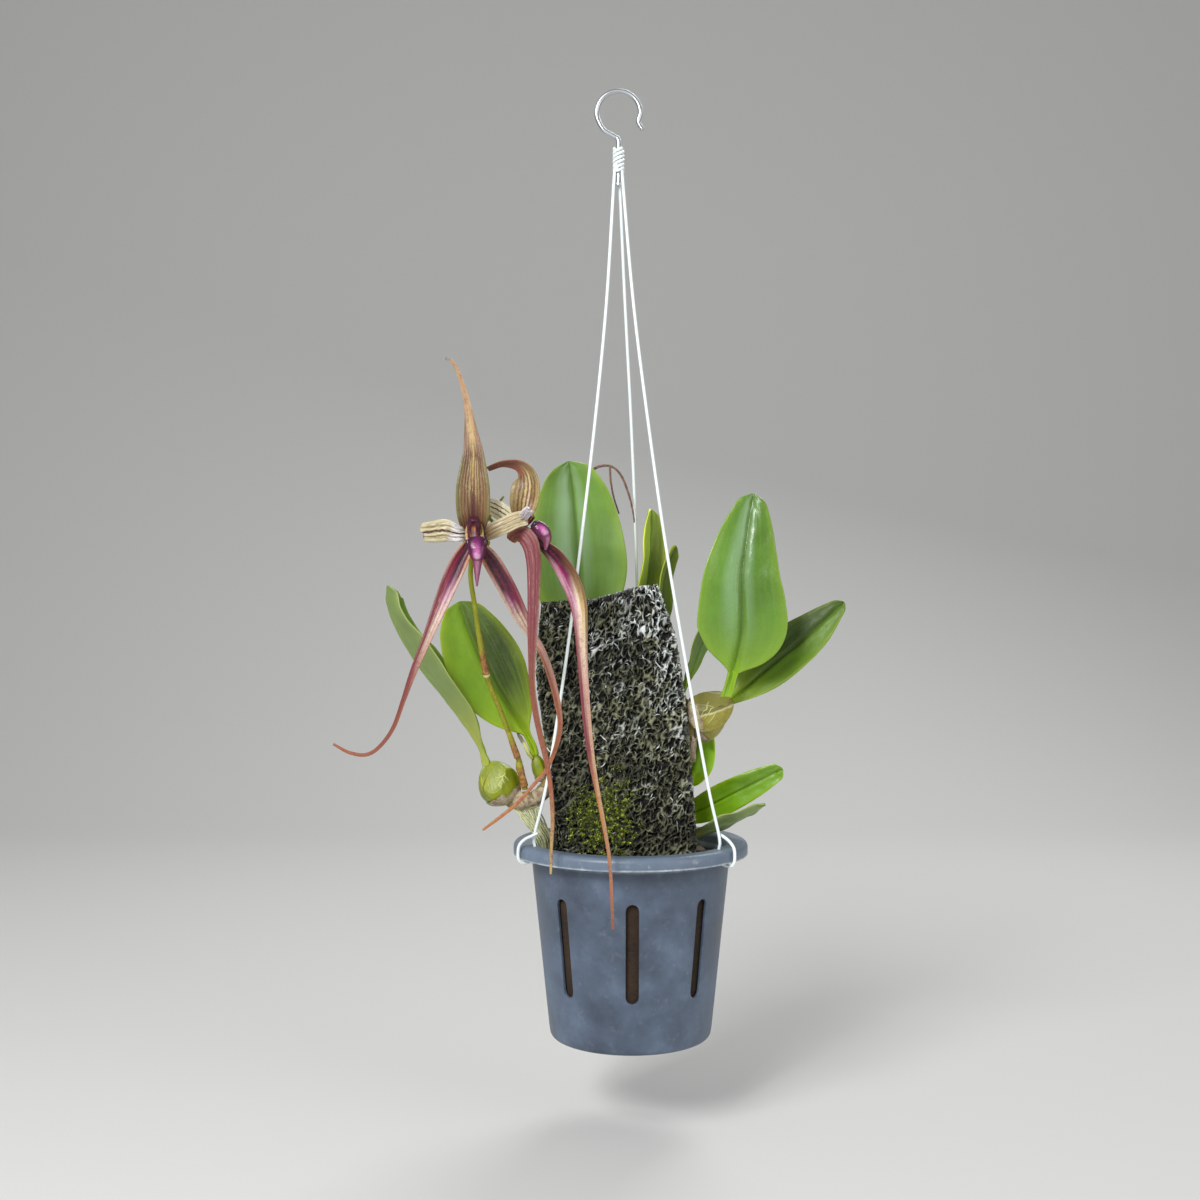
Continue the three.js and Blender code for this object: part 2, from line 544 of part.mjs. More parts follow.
const flowers = {
  flower1: {
    pedicel: [[-94, -61, 180, 1.1], [-87, -63, 188, 1.2], [-90, -67, 191, 1.4], [-94, -71, 192, 1.7]],
    column: [[-94.5, -72, 190, 3.2], [-94.5, -76, 195, 3.9], [-94.3, -79, 200, 4],
      [-94, -81, 204, 2.8]],
    foot: [[-94.5, -73, 191, 2.4], [-93.5, -77, 188, 2.2], [-93, -80, 187, 1.8]],
    lip: [[-92.4, -83, 190.6, 4.2, 1.6], [-92.2, -84, 188, 6.2, 2.6], [-92, -85.2, 184, 5.6, 3.4],
      [-91.8, -85.3, 180.4, 4.8, 3], [-91.8, -84.3, 176.6, 2.8, 1.8], [-92.2, -82.5, 162, 0.6, 0.6]],
    dorsal_sepal: [[-95, -71, 197, 7.6, 0], [-95, -73, 206, 9.8, 0], [-95, -74, 217, 10.2, 0],
      [-95, -74, 227, 9.1, 0], [-95, -73, 241, 6.3, 0], [-97, -71, 258, 3.5, 0],
      [-99, -69, 271, 2.1, 0], [-103, -66, 286, 1.4, 0], [-108, -63, 297, 1, 0],
      [-113, -61, 300, 0.7, 0]],
    lateral_sepal_left: [[-98, -71, 187, 3.6, -10], [-103, -74, 178, 5.2, -10],
      [-108, -78, 166, 5.3, -8], [-114, -82, 150, 4.3, 0], [-121, -85, 132, 2.9, 0],
      [-129, -87, 112, 2.1, 0], [-135, -87, 95, 1.4, 0], [-141, -86, 79, 1.2, 0],
      [-149, -85, 68, 1.1, 0], [-157, -84, 63, 1.1, 0], [-167, -83, 64, 1, 0],
      [-177, -82, 69, 0.7, 0]],
    lateral_sepal_right: [[-91, -70, 186, 3.6, 10], [-84, -70, 177, 5.5, 10],
      [-75, -67, 161, 5.6, 8], [-67.5, -62, 145, 4.6, 0], [-61, -57, 133, 3, 0],
      [-55, -54, 123, 2.4, 0], [-50, -51, 109, 2.3, 0], [-46, -49, 93, 2, 0],
      [-44, -48, 79, 1.6, 0], [-46, -47, 66, 1.4, 0], [-52, -47, 51, 1.2, 0],
      [-61, -48, 40, 1.1, 0], [-70, -50, 30, 1.1, 0], [-80, -52, 22, 1, 0],
      [-91, -54, 14, 0.7, 0]],
    petal_left: [[-99, -71, 194, 4.4, 0], [-105, -76, 195, 5.2, 0], [-112, -77, 195.6, 5.9, 0],
      [-119, -74, 195, 6.2, 0], [-126, -69, 194, 6, 0]],
    petal_right: [[-89, -71, 193, 4.2, 0], [-84, -75, 195, 4.8, 0], [-77, -77, 198, 4.9, 0],
      [-70, -75, 201.5, 4.8, 0], [-64.5, -72, 203, 4.6, 0]],
  },
  flower2: {
    pedicel: [[-87, -57.5, 204, 1.1], [-81, -58, 198, 1.2], [-75, -60, 195.4, 1.4],
      [-70.5, -62, 196, 1.7]],
    column: [[-69, -62.5, 197, 2.4], [-65.5, -64.5, 200, 2.8], [-62, -66, 203, 2.7],
      [-59.5, -67, 204.5, 1.6]],
    foot: [[-67, -63, 198, 2.2], [-63, -64, 196, 2], [-60, -65, 195, 1.6]],
    lip: [[-60, -67, 199.5, 2.2, 2.2], [-57.5, -67.5, 198, 4.2, 4], [-54, -67.5, 195, 4.6, 4.2],
      [-51.8, -67, 191.5, 3.4, 3], [-51.6, -66.5, 187.5, 1.9, 1.6], [-52.4, -66, 184, 0.7, 0.6]],
    dorsal_sepal: [[-66, -63, 203, 5.8, -20], [-65, -66, 210, 8.6, -20], [-63.6, -68, 217, 9.6, -22],
      [-62.8, -68, 224, 9.2, -28], [-64.3, -66, 231, 7.4, -44], [-70, -62, 236, 5.2, -60],
      [-79, -57, 237, 3.2, -60], [-88, -53, 234, 2, -50]],
    lateral_sepal_left: [[-72, -64, 193, 3.6, 180], [-66.5, -67.5, 195, 4.6, 180],
      [-61.5, -70.5, 190, 4.9, 180], [-59.3, -72.5, 178, 4.5, 180], [-59, -74, 165, 3.9, 180],
      [-59.2, -75.5, 150, 3.5, 180], [-59.6, -76, 136, 3.1, 180], [-60, -76, 120, 2.3, 180],
      [-60, -75, 104, 1.8, 180], [-58, -73, 87, 1.8, 180], [-55, -71, 72, 1.7, 180],
      [-51.5, -69, 57, 1.6, 180], [-49, -68, 40, 1.4, 180], [-48, -68, 22, 1.2, 180],
      [-48.7, -69, 6, 1, 180], [-49, -70, -10, 0.7, 180]],
    lateral_sepal_right: [[-58, -62, 192, 3.4, 40], [-51.5, -63.5, 186, 4.8, 40],
      [-44.5, -66, 179, 6.2, 36], [-37, -70, 167, 6.7, 30], [-32.2, -74, 153, 5.6, 20],
      [-30.8, -77, 139, 4.2, 10], [-30.2, -79, 123, 3.3, 0], [-29, -81, 104, 2.8, 0],
      [-27, -82, 80, 2.5, 0], [-24.5, -83, 60, 2, 0], [-21, -84, 41, 1.4, 0],
      [-17, -85, 20, 1.2, 0], [-14, -86, 1, 1, 0], [-12.8, -87, -19, 0.9, 0],
      [-12, -88, -39, 0.7, 0]],
    petal_left: [[-71, -62, 200, 3.6, -10], [-76, -61.5, 205, 5, -10], [-81.5, -61, 208.5, 5.4, -10],
      [-86.5, -60.5, 211, 5, -10]],
    petal_right: [[-66.5, -68.5, 200.5, 2.6, 0], [-65, -73, 203.5, 3, 10], [-63, -78, 206, 3, 20],
      [-61, -83, 207, 2.6, 20]],
  },
};

const sepalShape = { cup: 0.3, thick: 1.1 };
const petalShape = { cup: -0.12, thick: 0.9, ripple: 0.5, steps: 7 };

function flowerParts(name, form, others) {
  const built = {};
  const cutters = [...others];
  const add = (piece, solidWith) => {
    built[`${name}_${piece}`] = trimmed(solidWith(0), cutters);
    cutters.push(solidWith(GAP));
  };
  const oval = (rows, sides) => (grow) => stem(rows, { steps: rows.length + 1, sides, grow });
  add('column', (grow) => joined(oval(form.column, 6)(grow), oval(form.foot, 6)(grow)));
  add('pedicel', oval(form.pedicel, 6));
  add('lip', oval(form.lip, 8));
  for (const piece of ['dorsal_sepal', 'lateral_sepal_left', 'lateral_sepal_right']) {
    const steps = Math.round(1.35 * form[piece].length);
    add(piece, (grow) => blade(form[piece], { ...sepalShape, steps }, grow));
  }
  for (const piece of ['petal_left', 'petal_right']) {
    add(piece, (grow) => blade(form[piece], petalShape, grow));
  }
  return { built, cutters };
}

const flowerColours = {
  column: colours.column, pedicel: colours.stalk, lip: colours.lip, dorsal_sepal: colours.sepal,
  lateral_sepal_left: colours.tail, lateral_sepal_right: colours.tail,
  petal_left: colours.petal, petal_right: colours.petal,
};

// ---------------------------------------------------------------- old flower stalk

function oldStalk() {
  const stalk = stem([
    [4, 12, 98, 1.2], [2, 29, 120, 1.1], [-10, 34, 170, 1], [-22, 34, 215, 0.9], [-27, 33, 236, 0.9],
    [-22, 32, 242, 0.9], [-13, 30, 243, 0.8], [-6, 28, 237, 0.8], [-1, 25, 225, 0.7],
    [2, 23, 213, 0.6], [3, 22, 205, 0.5],
  ], { steps: 16, sides: 4 });
  const tail = stem([[-13, 30, 243, 0.7], [-12.5, 29, 233, 0.7], [-10.5, 28, 222, 0.6],
    [-7, 27, 211, 0.5]], { steps: 5, sides: 4 });
  return stalk.add(tail);
}

// ---------------------------------------------------------------- the plant, put together

const bulbSolids = {};
const bulbCutters = [...rhizomeCutters, rootCutter];
for (const [name, form] of Object.entries(bulbs)) {
  bulbSolids[name] = trimmed(bulb(form), bulbCutters);
  bulbCutters.push(bulb({ ...form, grow: GAP }));
}

const slabSolid = trimmed(joined(slabBlock(0), ...slabFibres), bulbCutters);
addPiece('fern_slab', slabSolid, colours.fibre, 0.95);

// The potting mix: a plug with a broken top, a blind hole for the slab and bark chips half sunk.
function mixSolid() {
  const draw = drawFrom(23);
  const clear = 0.4;
  const slope = (pot.neckRadius - pot.baseRadius) / (pot.height - pot.rimDrop);
  const wallAt = (z) => pot.neckRadius + slope * (z + pot.rimDrop) - pot.wall - clear - 0.3;
  const plug = new THREE.CylinderGeometry(wallAt(mix.top), wallAt(mix.bottom), mix.top - mix.bottom, 26);
  plug.rotateX(Math.PI / 2);
  plug.translate(0, 0, (mix.top + mix.bottom) / 2);
  let solid = solidOf(plug);
  for (let k = 0; k < mix.chips; k += 1) {
    const chip = new THREE.BoxGeometry(draw(7, 14), draw(5, 10), draw(4, 7));
    chip.rotateX(draw(-0.5, 0.5));
    chip.rotateZ(draw(0, Math.PI));
    const turn = (2 * Math.PI * k) / mix.chips + draw(-0.1, 0.1);
    const out = k % 3 === 0 ? draw(34, 42) : draw(45, 50);
    chip.translate(out * Math.cos(turn), out * Math.sin(turn), mix.top - draw(0, 1.5));
    solid = solid.add(solidOf(chip));
  }
  return trimmed(solid, [slabBlock(clear), rootCutter, ...bulbCutters]);
}

addPiece('potting_mix', mixSolid(), colours.mix, 0.95);

for (const [name, solid] of Object.entries(rhizomes)) {
  addPiece(name, solid, colours.rhizome, 0.8);
}
addPiece('roots', trimmed(roots, [slabBlock(GAP)]), colours.root, 0.7);
for (const [name, form] of Object.entries(bulbs)) {
  addPiece(name, bulbSolids[name], form.old ? colours.bulbOld : colours.bulb, 0.5);
}
for (const [name, form] of Object.entries(leaves)) {
  addPiece(name, trimmed(leafSolid(form), bulbCutters), form.pale ? colours.leafPale : colours.leaf, 0.4);
}

const flower1 = flowerParts('flower1', flowers.flower1, []);
const flower2 = flowerParts('flower2', flowers.flower2, flower1.cutters);
const stalkCutters = [...bulbCutters, ...flower2.cutters];
addPiece('flower_stalk', trimmed(flowerStalk(0), stalkCutters), colours.stalk, 0.5);
for (const [name, solid] of Object.entries({ ...flower1.built, ...flower2.built })) {
  addPiece(name, solid, flowerColours[name.slice('flower1_'.length)], 0.5);
}
addPiece('old_stalk', trimmed(oldStalk(), bulbCutters), colours.dried, 0.9);

// ---------------------------------------------------------------- hanger

// Each wire winds round the hook's shank, bows in to its hole in the rim, goes down through it
// and loops round the rim's edge to finish beside itself.
const wireBends = {
  left: [[-15.4, -6.7, 344.6], [-22.8, -11.3, 267], [-31.6, -15.9, 191], [-41, -20.3, 116],
    [-52.6, -24.8, 41]],
  right: [[1.7, -8.8, 344], [10.9, -15.4, 267], [21.4, -21.9, 191], [34, -28.3, 115],
    [47, -34.6, 41]],
  back: [[-3.4, 10.1, 348], [0.9, 22.3, 271], [4.3, 34.7, 193], [6, 46, 115], [6.4, 58, 41]],
};

function hangerWire(side) {
  const turn = THREE.MathUtils.degToRad(wireTurns[side]);
  const wrapRadius = hook.radius + wire.radius + GAP;
  const rows = [];
  const { wraps, wrapSteps, wrapHeight, wrapBottom } = hook;
  for (let k = 0; k <= wraps * wrapSteps; k += 1) {
    const angle = turn - (2 * Math.PI * k) / wrapSteps;
    rows.push([
      hook.x + wrapRadius * Math.cos(angle), hook.y + wrapRadius * Math.sin(angle),
      wrapBottom + wrapHeight * (1 - k / (wraps * wrapSteps)),
    ]);
  }
  rows.push(...wireBends[side]);
  // Radius from the pot's axis, height, and distance to one side of the hole's radius.
  const loop = [[66.4, 8, 0], [66.4, 0, 0], [66.6, -5.5, 0], [68, -8.5, 0], [71.2, -9.8, 0],
    [75, -9.7, 0], [77.2, -7.4, 0], [77.6, -3, 0], [76.8, 1.4, 0.3], [73.5, 4.8, 1], [69, 7, 2.4],
    [65.6, 8.4, 2.8]];
  for (const [r, z, aside] of loop) {
    rows.push([
      r * Math.cos(turn) - aside * Math.sin(turn), r * Math.sin(turn) + aside * Math.cos(turn), z,
    ]);
  }
  return stem(rows.map((p) => [...p, wire.radius]), { sides: wire.sides });
}

// The hook: a shank with a foot that the wires can't slip off, and an open bend above it.
function hookSolid() {
  const rows = [[0, 420, 2.3], [0, 422, 2.3], [0, 424, 1.5], [0, 448, 1.5], [-3, 452, 1.5],
    [-9, 455.5, 1.5]];
  for (let degrees = 205; degrees >= -25; degrees -= 23) {
    const turn = THREE.MathUtils.degToRad(degrees);
    const [x, z] = [hook.bendRadius * Math.cos(turn), hook.bendRadius * Math.sin(turn)];
    rows.push([x, hook.bendHeight + z, hook.radius]);
  }
  rows.push([hook.bendRadius + 1.5, hook.bendHeight - 11, hook.radius]);
  return stem(rows.map(([x, z, r]) => [hook.x + x, hook.y, z, r]), { sides: 8 });
}

addPiece('hanger_hook', hookSolid(), colours.hook, 0.3, 0.9);
for (const side of Object.keys(wireTurns)) {
  addPiece(`hanger_wire_${side}`, hangerWire(side), colours.wire, 0.3, 0.9);
}

export default plant;
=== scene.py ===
import math
import random

import bmesh
import bpy
from mathutils import Matrix, Vector, noise


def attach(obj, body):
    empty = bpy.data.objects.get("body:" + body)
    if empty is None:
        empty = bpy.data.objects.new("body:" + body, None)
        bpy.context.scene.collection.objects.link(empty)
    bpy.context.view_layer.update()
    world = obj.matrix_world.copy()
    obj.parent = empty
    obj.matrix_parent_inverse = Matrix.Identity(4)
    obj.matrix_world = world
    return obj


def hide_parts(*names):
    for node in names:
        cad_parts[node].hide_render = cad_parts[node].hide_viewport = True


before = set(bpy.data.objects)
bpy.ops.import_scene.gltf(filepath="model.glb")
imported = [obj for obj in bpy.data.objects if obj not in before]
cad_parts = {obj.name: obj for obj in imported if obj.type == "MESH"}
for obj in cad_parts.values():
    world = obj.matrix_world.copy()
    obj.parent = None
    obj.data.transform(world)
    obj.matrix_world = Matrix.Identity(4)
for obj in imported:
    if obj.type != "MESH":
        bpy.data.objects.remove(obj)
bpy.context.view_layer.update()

# ---------------------------------------------------------------- studio
# The plant hangs in front of a pale seamless sheet that curves from the floor up behind it. Soft
# boxes light it from the left, the right and behind, and the camera stands level before the flowers.

camera_place = (-0.0119, -0.978, -0.3255)
lens_length, sensor_width = 45.66, 36
floor_height, paper_rise, paper_bend = -0.66, 5, 1.2
lamp_aim = Vector((0, 0, -0.3))

backdrop = bmesh.new()
bmesh.ops.create_grid(backdrop, x_segments=1, y_segments=1, size=1)
laid_out = Matrix.Translation((0, -2, floor_height)) @ Matrix.Diagonal((6, 4.4, 1, 1))
bmesh.ops.transform(backdrop, matrix=laid_out, verts=backdrop.verts)
rear = [edge for edge in backdrop.edges if all(corner.co.y > 2 for corner in edge.verts)]
risen = bmesh.ops.extrude_edge_only(backdrop, edges=rear)["geom"]
corners = [part for part in risen if isinstance(part, bmesh.types.BMVert)]
bmesh.ops.translate(backdrop, vec=(0, 0, paper_rise), verts=corners)
bmesh.ops.bevel(
    backdrop, geom=rear, affect="EDGES", offset=paper_bend, segments=20, profile=0.5, material=-1,
)
for face in backdrop.faces:
    face.smooth = True
floor_mesh = bpy.data.meshes.new("floor")
backdrop.to_mesh(floor_mesh)
floor = bpy.data.objects.new("floor", floor_mesh)
bpy.context.scene.collection.objects.link(floor)
floor_finish = bpy.data.materials.new("pale_paper")
floor_finish.use_nodes = True
floor_finish.node_tree.nodes["Principled BSDF"].inputs["Base Color"].default_value = (0.62, 0.62, 0.6, 1)
floor_finish.node_tree.nodes["Principled BSDF"].inputs["Roughness"].default_value = 0.9
floor_mesh.materials.append(floor_finish)

for label, place, width, watts in (
    ("left_box", (-0.9, -1.4, 0.75), 0.7, 26),
    ("key_box", (-0.5, -1.3, 0.3), 0.3, 8),
    ("right_box", (1.5, -1.1, 0.0), 1.2, 9),
    ("rear_box", (0.5, 1.2, 0.9), 0.9, 14),
):
    lamp = bpy.data.lights.new(label, "AREA")
    lamp.size = width
    lamp.energy = watts
    light = bpy.data.objects.new(label, lamp)
    light.location = place
    light.rotation_euler = (lamp_aim - Vector(place)).to_track_quat("-Z", "Y").to_euler()
    bpy.context.scene.collection.objects.link(light)

world = bpy.data.worlds.new("studio")
world.use_nodes = True
world.node_tree.nodes["Background"].inputs["Color"].default_value = (0.86, 0.88, 0.9, 1)
world.node_tree.nodes["Background"].inputs["Strength"].default_value = 0.4
bpy.context.scene.world = world
bpy.context.scene.view_settings.view_transform = "Standard"

camera = bpy.data.objects.new("camera", bpy.data.cameras.new("camera"))
camera.data.sensor_width = sensor_width
camera.data.lens = lens_length
camera.location = camera_place
camera.rotation_euler = (math.radians(90), 0, 0)
bpy.context.scene.collection.objects.link(camera)
bpy.context.scene.camera = camera

# ---------------------------------------------------------------- pot
# A 150 mm orchid pot of grey plastic, moulded in one sheet that turns over at the rim, with drainage
# slots round its side, drain holes in its base and three holes in the rim for the hanger wires.

hook_bearing = Vector((-7.7, -2.0, 479.5))  # from the pot's axis at the rim's top, in millimetres
wire_turns = {"left": 204.5, "right": 324.5, "back": 84.5}
pot_columns = 240
sheet_thickness = 1.8
rim_edge = [(74.2, -8.0), (74.2, -3.2)]
wall = [(62.6, -11.0), (51.0, -121.0)]


def from_pot(x, y, z):
    """A point given in millimetres from the pot's axis and rim, in the frame of the whole hanger."""
    return (Vector((x, y, z)) - hook_bearing) / 1000


def paint(red, green, blue):
    """The linear colour of red, green and blue as a screen shows them, each from 0 to 255."""
    return (*((max(0.0, c / 255 + 0.055) / 1.055) ** 2.4 for c in (red, green, blue)), 1.0)


class Finish:
    """A procedural finish. Each method adds a node and returns its output. Colours are as in paint."""

    def __init__(self, name, **sockets):
        self.made = bpy.data.materials.new(name)
        self.made.use_nodes = True
        self.tree = self.made.node_tree
        self.shader = self.tree.nodes["Principled BSDF"]
        for socket, value in sockets.items():
            value = paint(*value) if isinstance(value, tuple) else value
            self.shader.inputs[socket.replace("_", " ").title()].default_value = value

    def node(self, kind, inputs, out=0, **settings):
        made = self.tree.nodes.new("ShaderNode" + kind)
        for name, value in settings.items():
            setattr(made, name, value)
        for key, value in inputs.items():
            if isinstance(value, bpy.types.NodeSocket):
                self.tree.links.new(value, made.inputs[key])
            else:
                made.inputs[key].default_value = value
        return made.outputs[out]

    def place(self, scale=(1, 1, 1), by="Object"):
        """Object or UV coordinates, stretched."""
        return self.node("Mapping", {"Vector": self.node("TexCoord", {}, by), "Scale": scale})

    def noise(self, vector, scale, detail=4.0, roughness=0.55, distortion=0.0):
        return self.node("TexNoise", {
            "Vector": vector, "Scale": scale, "Detail": detail, "Roughness": roughness,
            "Distortion": distortion,
        })

    def cloud(self, *form, at=(1, 1, 1), by="Object"):
        """Noise on its own stretched coordinates. form is its scale, detail, roughness and distortion."""
        return self.noise(self.place(at, by), *form)

    def axis(self, vector, name):
        return self.node("SeparateXYZ", {"Vector": vector}, name)

    def maths(self, operation, first, second=0.0, third=0.0):
        return self.node("Math", {0: first, 1: second, 2: third}, operation=operation)

    def plus(self, first, second):
        return self.maths("ADD", first, second)

    def times(self, first, second):
        return self.maths("MULTIPLY", first, second)

    def scaled(self, value, by, plus):
        return self.maths("MULTIPLY_ADD", value, by, plus)

    def far(self, value, middle=None):
        """How far value stands from the middle, or from 0, either way."""
        off = value if middle is None else self.maths("SUBTRACT", value, middle)
        return self.maths("ABSOLUTE", off)

    def step(self, value, low, high, start=0.0, end=1.0):
        """Rises smoothly from start to end as value goes from low to high."""
        return self.node("MapRange", {
            "Value": value, "From Min": low, "From Max": high, "To Min": start, "To Max": end,
        }, interpolation_type="SMOOTHSTEP")

    def ramp(self, value, *stops):
        """Colours along value: each stop is its position and its colour."""
        made = self.tree.nodes.new("ShaderNodeValToRGB")
        self.tree.links.new(value, made.inputs[0])
        for k, (position, colour) in enumerate(stops):
            stop = made.color_ramp.elements[k] if k < 2 else made.color_ramp.elements.new(position)
            stop.position = position
            stop.color = paint(*colour)
        return made.outputs[0]

    def mix(self, share, first, second, blend="MIX"):
        first, second = (paint(*c) if isinstance(c, tuple) else c for c in (first, second))
        return self.node("Mix", {0: share, 6: first, 7: second}, 2, data_type="RGBA", blend_type=blend)

    def colour(self, value):
        self.tree.links.new(value, self.shader.inputs["Base Color"])

    def rough(self, value):
        self.tree.links.new(value, self.shader.inputs["Roughness"])

    def bump(self, height, distance, strength=1.0, under=None):
        """Raises the surface by height, whose full range stands distance metres high."""
        inputs = {"Height": height, "Distance": distance, "Strength": strength}
        if under is not None:
            inputs["Normal"] = under
        normal = self.node("Bump", inputs)
        self.tree.links.new(normal, self.shader.inputs["Normal"])
        return normal


def skin(bm, columns, rows, place, finish=0, under=None, lay=None):
    """Adds a flat grid and moves its corner at share u of row k to place(u, k). Seams and poles close.

    The half beyond u = 0.5 takes the finish under, and lay(u, k) gives the UV place of a corner.
    """
    made = bmesh.ops.create_grid(bm, x_segments=columns, y_segments=rows, size=0.5, calc_uvs=True)["verts"]
    faces = list({face for corner in made for face in corner.link_faces})
    layer = bm.loops.layers.uv.active
    for face in faces:
        beyond = face.calc_center_median().x > 0
        face.material_index = under if under is not None and beyond else finish
        face.smooth = True
        if lay is not None:
            for loop in face.loops:
                flat = loop.vert.co
                loop[layer].uv = lay(flat.x + 0.5, round((flat.y + 0.5) * rows))
    for corner in made:
        corner.co = place(corner.co.x + 0.5, round((corner.co.y + 0.5) * rows))
    bmesh.ops.remove_doubles(bm, verts=made, dist=1e-6)


def new_bmesh():
    bm = bmesh.new()
    bm.loops.layers.uv.new("UVMap")
    return bm


def piece_of(bm, name, *finishes, turn_out=True):
    """The finished piece, with its place in its mesh."""
    if turn_out:
        bmesh.ops.recalc_face_normals(bm, faces=bm.faces)
    mesh = bpy.data.meshes.new(name)
    bm.to_mesh(mesh)
    bm.free()
    for finish in finishes:
        mesh.materials.append(finish.made)
    piece = bpy.data.objects.new(name, mesh)
    bpy.context.scene.collection.objects.link(piece)
    return piece


def arc(centre, radius, start, end, count):
    """Points on an arc between two directions, in degrees."""
    turns = [math.radians(start + (end - start) * k / count) for k in range(count + 1)]
    return [(centre[0] + radius * math.cos(t), centre[1] + radius * math.sin(t)) for t in turns]


class Opening:
    """A round or long opening, one in each of a few sectors of the sheet."""

    def __init__(self, sectors, turn, half, inner, flat):
        self.width = pot_columns // sectors
        self.centre = round(turn / 360 * pot_columns) % self.width
        self.turn, self.sectors, self.half, self.inner = turn, sectors, half, inner
        self.spread = math.radians(90 - flat)

    def from_centre(self, column):
        return (column - self.centre + self.width // 2) % self.width - self.width // 2

    def angle(self, column, radius):
        """Columns crowd towards the opening, so that its edge falls on them."""
        d = self.from_centre(column)
        sector = (column - d - self.centre) / self.width
        edge = self.half * math.sin(self.spread) / radius
        if abs(d) <= self.inner:
            offset = self.half * math.sin(d / self.inner * self.spread) / radius
        else:
            share = (abs(d) - self.inner) / (self.width / 2 - self.inner)
            offset = math.copysign(edge + (math.pi / self.sectors - edge) * share, d)
        return math.radians(self.turn % (360 / self.sectors)) + 2 * math.pi * sector / self.sectors + offset

    def reach(self, column):
        """How far the opening's rounded end stands from its centre line at this column."""
        d = self.from_centre(column)
        return self.half * math.cos(min(abs(d) / self.inner, 1) * self.spread)


wire_hole = Opening(3, wire_turns["back"], 1.9, 2, 20)
slot = Opening(8, 0, 4.0, 3, 0)
drain = Opening(6, 30, 4.0, 5, 15)

# Rows of the sheet from the rim's edge to the middle of the base: a point of the profile, the opening
# whose columns it keeps to, and which way along the profile it gives way to that opening.
slot_top, slot_bottom, drain_circle, hole_circle = -34.0, -88.0, 32.0, 66.4


def on_wall(z):
    (r0, z0), (r1, z1) = wall
    return (r0 + (r1 - r0) * (z - z0) / (z1 - z0), z)


pot_rows = [(p, wire_hole, 0) for p in [
    *rim_edge, *arc((71.7, -3.4), 2.5, 0, 90, 5)[1:], (69.6, -0.9),
]]
pot_rows += [((hole_circle, -0.9), wire_hole, 1), ((hole_circle, -0.9), wire_hole, -1)]
pot_rows += [(p, wire_hole, 0) for p in arc((64.9, -3.2), 2.3, 105, 180, 4)]
pot_rows += [(on_wall(z), slot, 0) for z in (-11, -20, -27)]
pot_rows += [(on_wall(slot_top), slot, 1)]
pot_rows += [(on_wall(slot_top + (slot_bottom - slot_top) * k / 5), slot, 0) for k in range(1, 5)]
pot_rows += [(on_wall(slot_bottom), slot, -1)]
pot_rows += [(on_wall(z), slot, 0) for z in (-95, -108, -118)]
pot_rows += [(p, slot, 0) for p in arc((48.0, -121.3), 2.8, 0, -90, 5)]
pot_rows += [((40.0, -124.1), drain, 0), ((drain_circle, -124.1), drain, 1)]
pot_rows += [((drain_circle, -124.1), drain, -1), ((24.0, -124.1), drain, 0), ((0.0, -124.1), drain, 0)]


def pot_corner(share, row):
    (radius, z), opening, way = pot_rows[row]
    column = round(share * pot_columns)
    give = way * opening.reach(column)
    if opening is slot:
        radius, z = on_wall(z + give) if way else (radius, z)
    else:
        radius += give
    turn = opening.angle(column, max(radius, 1.0))
    return from_pot(radius * math.cos(turn), radius * math.sin(turn), z)


pot_mesh = new_bmesh()
last_row = len(pot_rows) - 1
bmesh.ops.create_grid(pot_mesh, x_segments=pot_columns, y_segments=last_row, size=0.5, calc_uvs=True)
opened = []
for face in pot_mesh.faces:
    middle = face.calc_center_median()
    column = (middle.x + 0.5) * pot_columns
    row = int((middle.y + 0.5) * last_row)
    kind = pot_rows[row][1]
    first, last = (
        next(k for k, made in enumerate(pot_rows) if made[1] is kind and made[2] == way) for way in (1, -1)
    )
    aside = abs((column - kind.centre + kind.width / 2) % kind.width - kind.width / 2)
    if first <= row < last and aside < kind.inner:
        opened.append(face)
    face.smooth = True
bmesh.ops.delete(pot_mesh, geom=opened, context="FACES")
for corner in pot_mesh.verts:
    corner.co = pot_corner(corner.co.x + 0.5, round((corner.co.y + 0.5) * last_row))
bmesh.ops.remove_doubles(pot_mesh, verts=pot_mesh.verts, dist=1e-6)
bmesh.ops.dissolve_degenerate(pot_mesh, edges=pot_mesh.edges, dist=1e-7)

pot_plastic = Finish("grey_pot_plastic", roughness=0.45)
around = pot_plastic.place()
clouds = pot_plastic.noise(around, 26, 6, 0.62)
chalk = pot_plastic.noise(around, 150, 8, 0.7)
height = pot_plastic.axis(around, "Z")
rim_zone = pot_plastic.step(height, -0.4915, -0.4885)
rim_foot = pot_plastic.times(rim_zone, pot_plastic.step(height, -0.4805, -0.4875))
grey = pot_plastic.ramp(
    clouds, (0.3, (58, 67, 82)), (0.5, (79, 92, 111)), (0.72, (104, 120, 141)),
)
# Painted highlight: the rim band is tinted lighter and bluer than the wall, standing for the light it
# catches.
grey = pot_plastic.mix(pot_plastic.times(rim_zone, 0.45), grey, (122, 138, 156))
scuffs = pot_plastic.step(chalk, 0.56, 0.7)
scuff_share = pot_plastic.scaled(rim_foot, 0.4, 0.07)
grey = pot_plastic.mix(pot_plastic.times(scuffs, scuff_share), grey, (205, 212, 216))
rim_line = pot_plastic.times(rim_zone, pot_plastic.step(height, -0.4862, -0.487, 0, 0.75))
rim_line = pot_plastic.times(rim_line, pot_plastic.step(chalk, 0.36, 0.6, 0.25, 1))
grey = pot_plastic.mix(rim_line, grey, (190, 200, 208))
pot_plastic.colour(grey)
pot_plastic.rough(pot_plastic.step(clouds, 0.3, 0.8, 0.36, 0.62))
grain = pot_plastic.bump(pot_plastic.noise(around, 900, 3, 0.6), 0.00012, 0.5)
pot_plastic.bump(clouds, 0.0006, 0.5, under=grain)

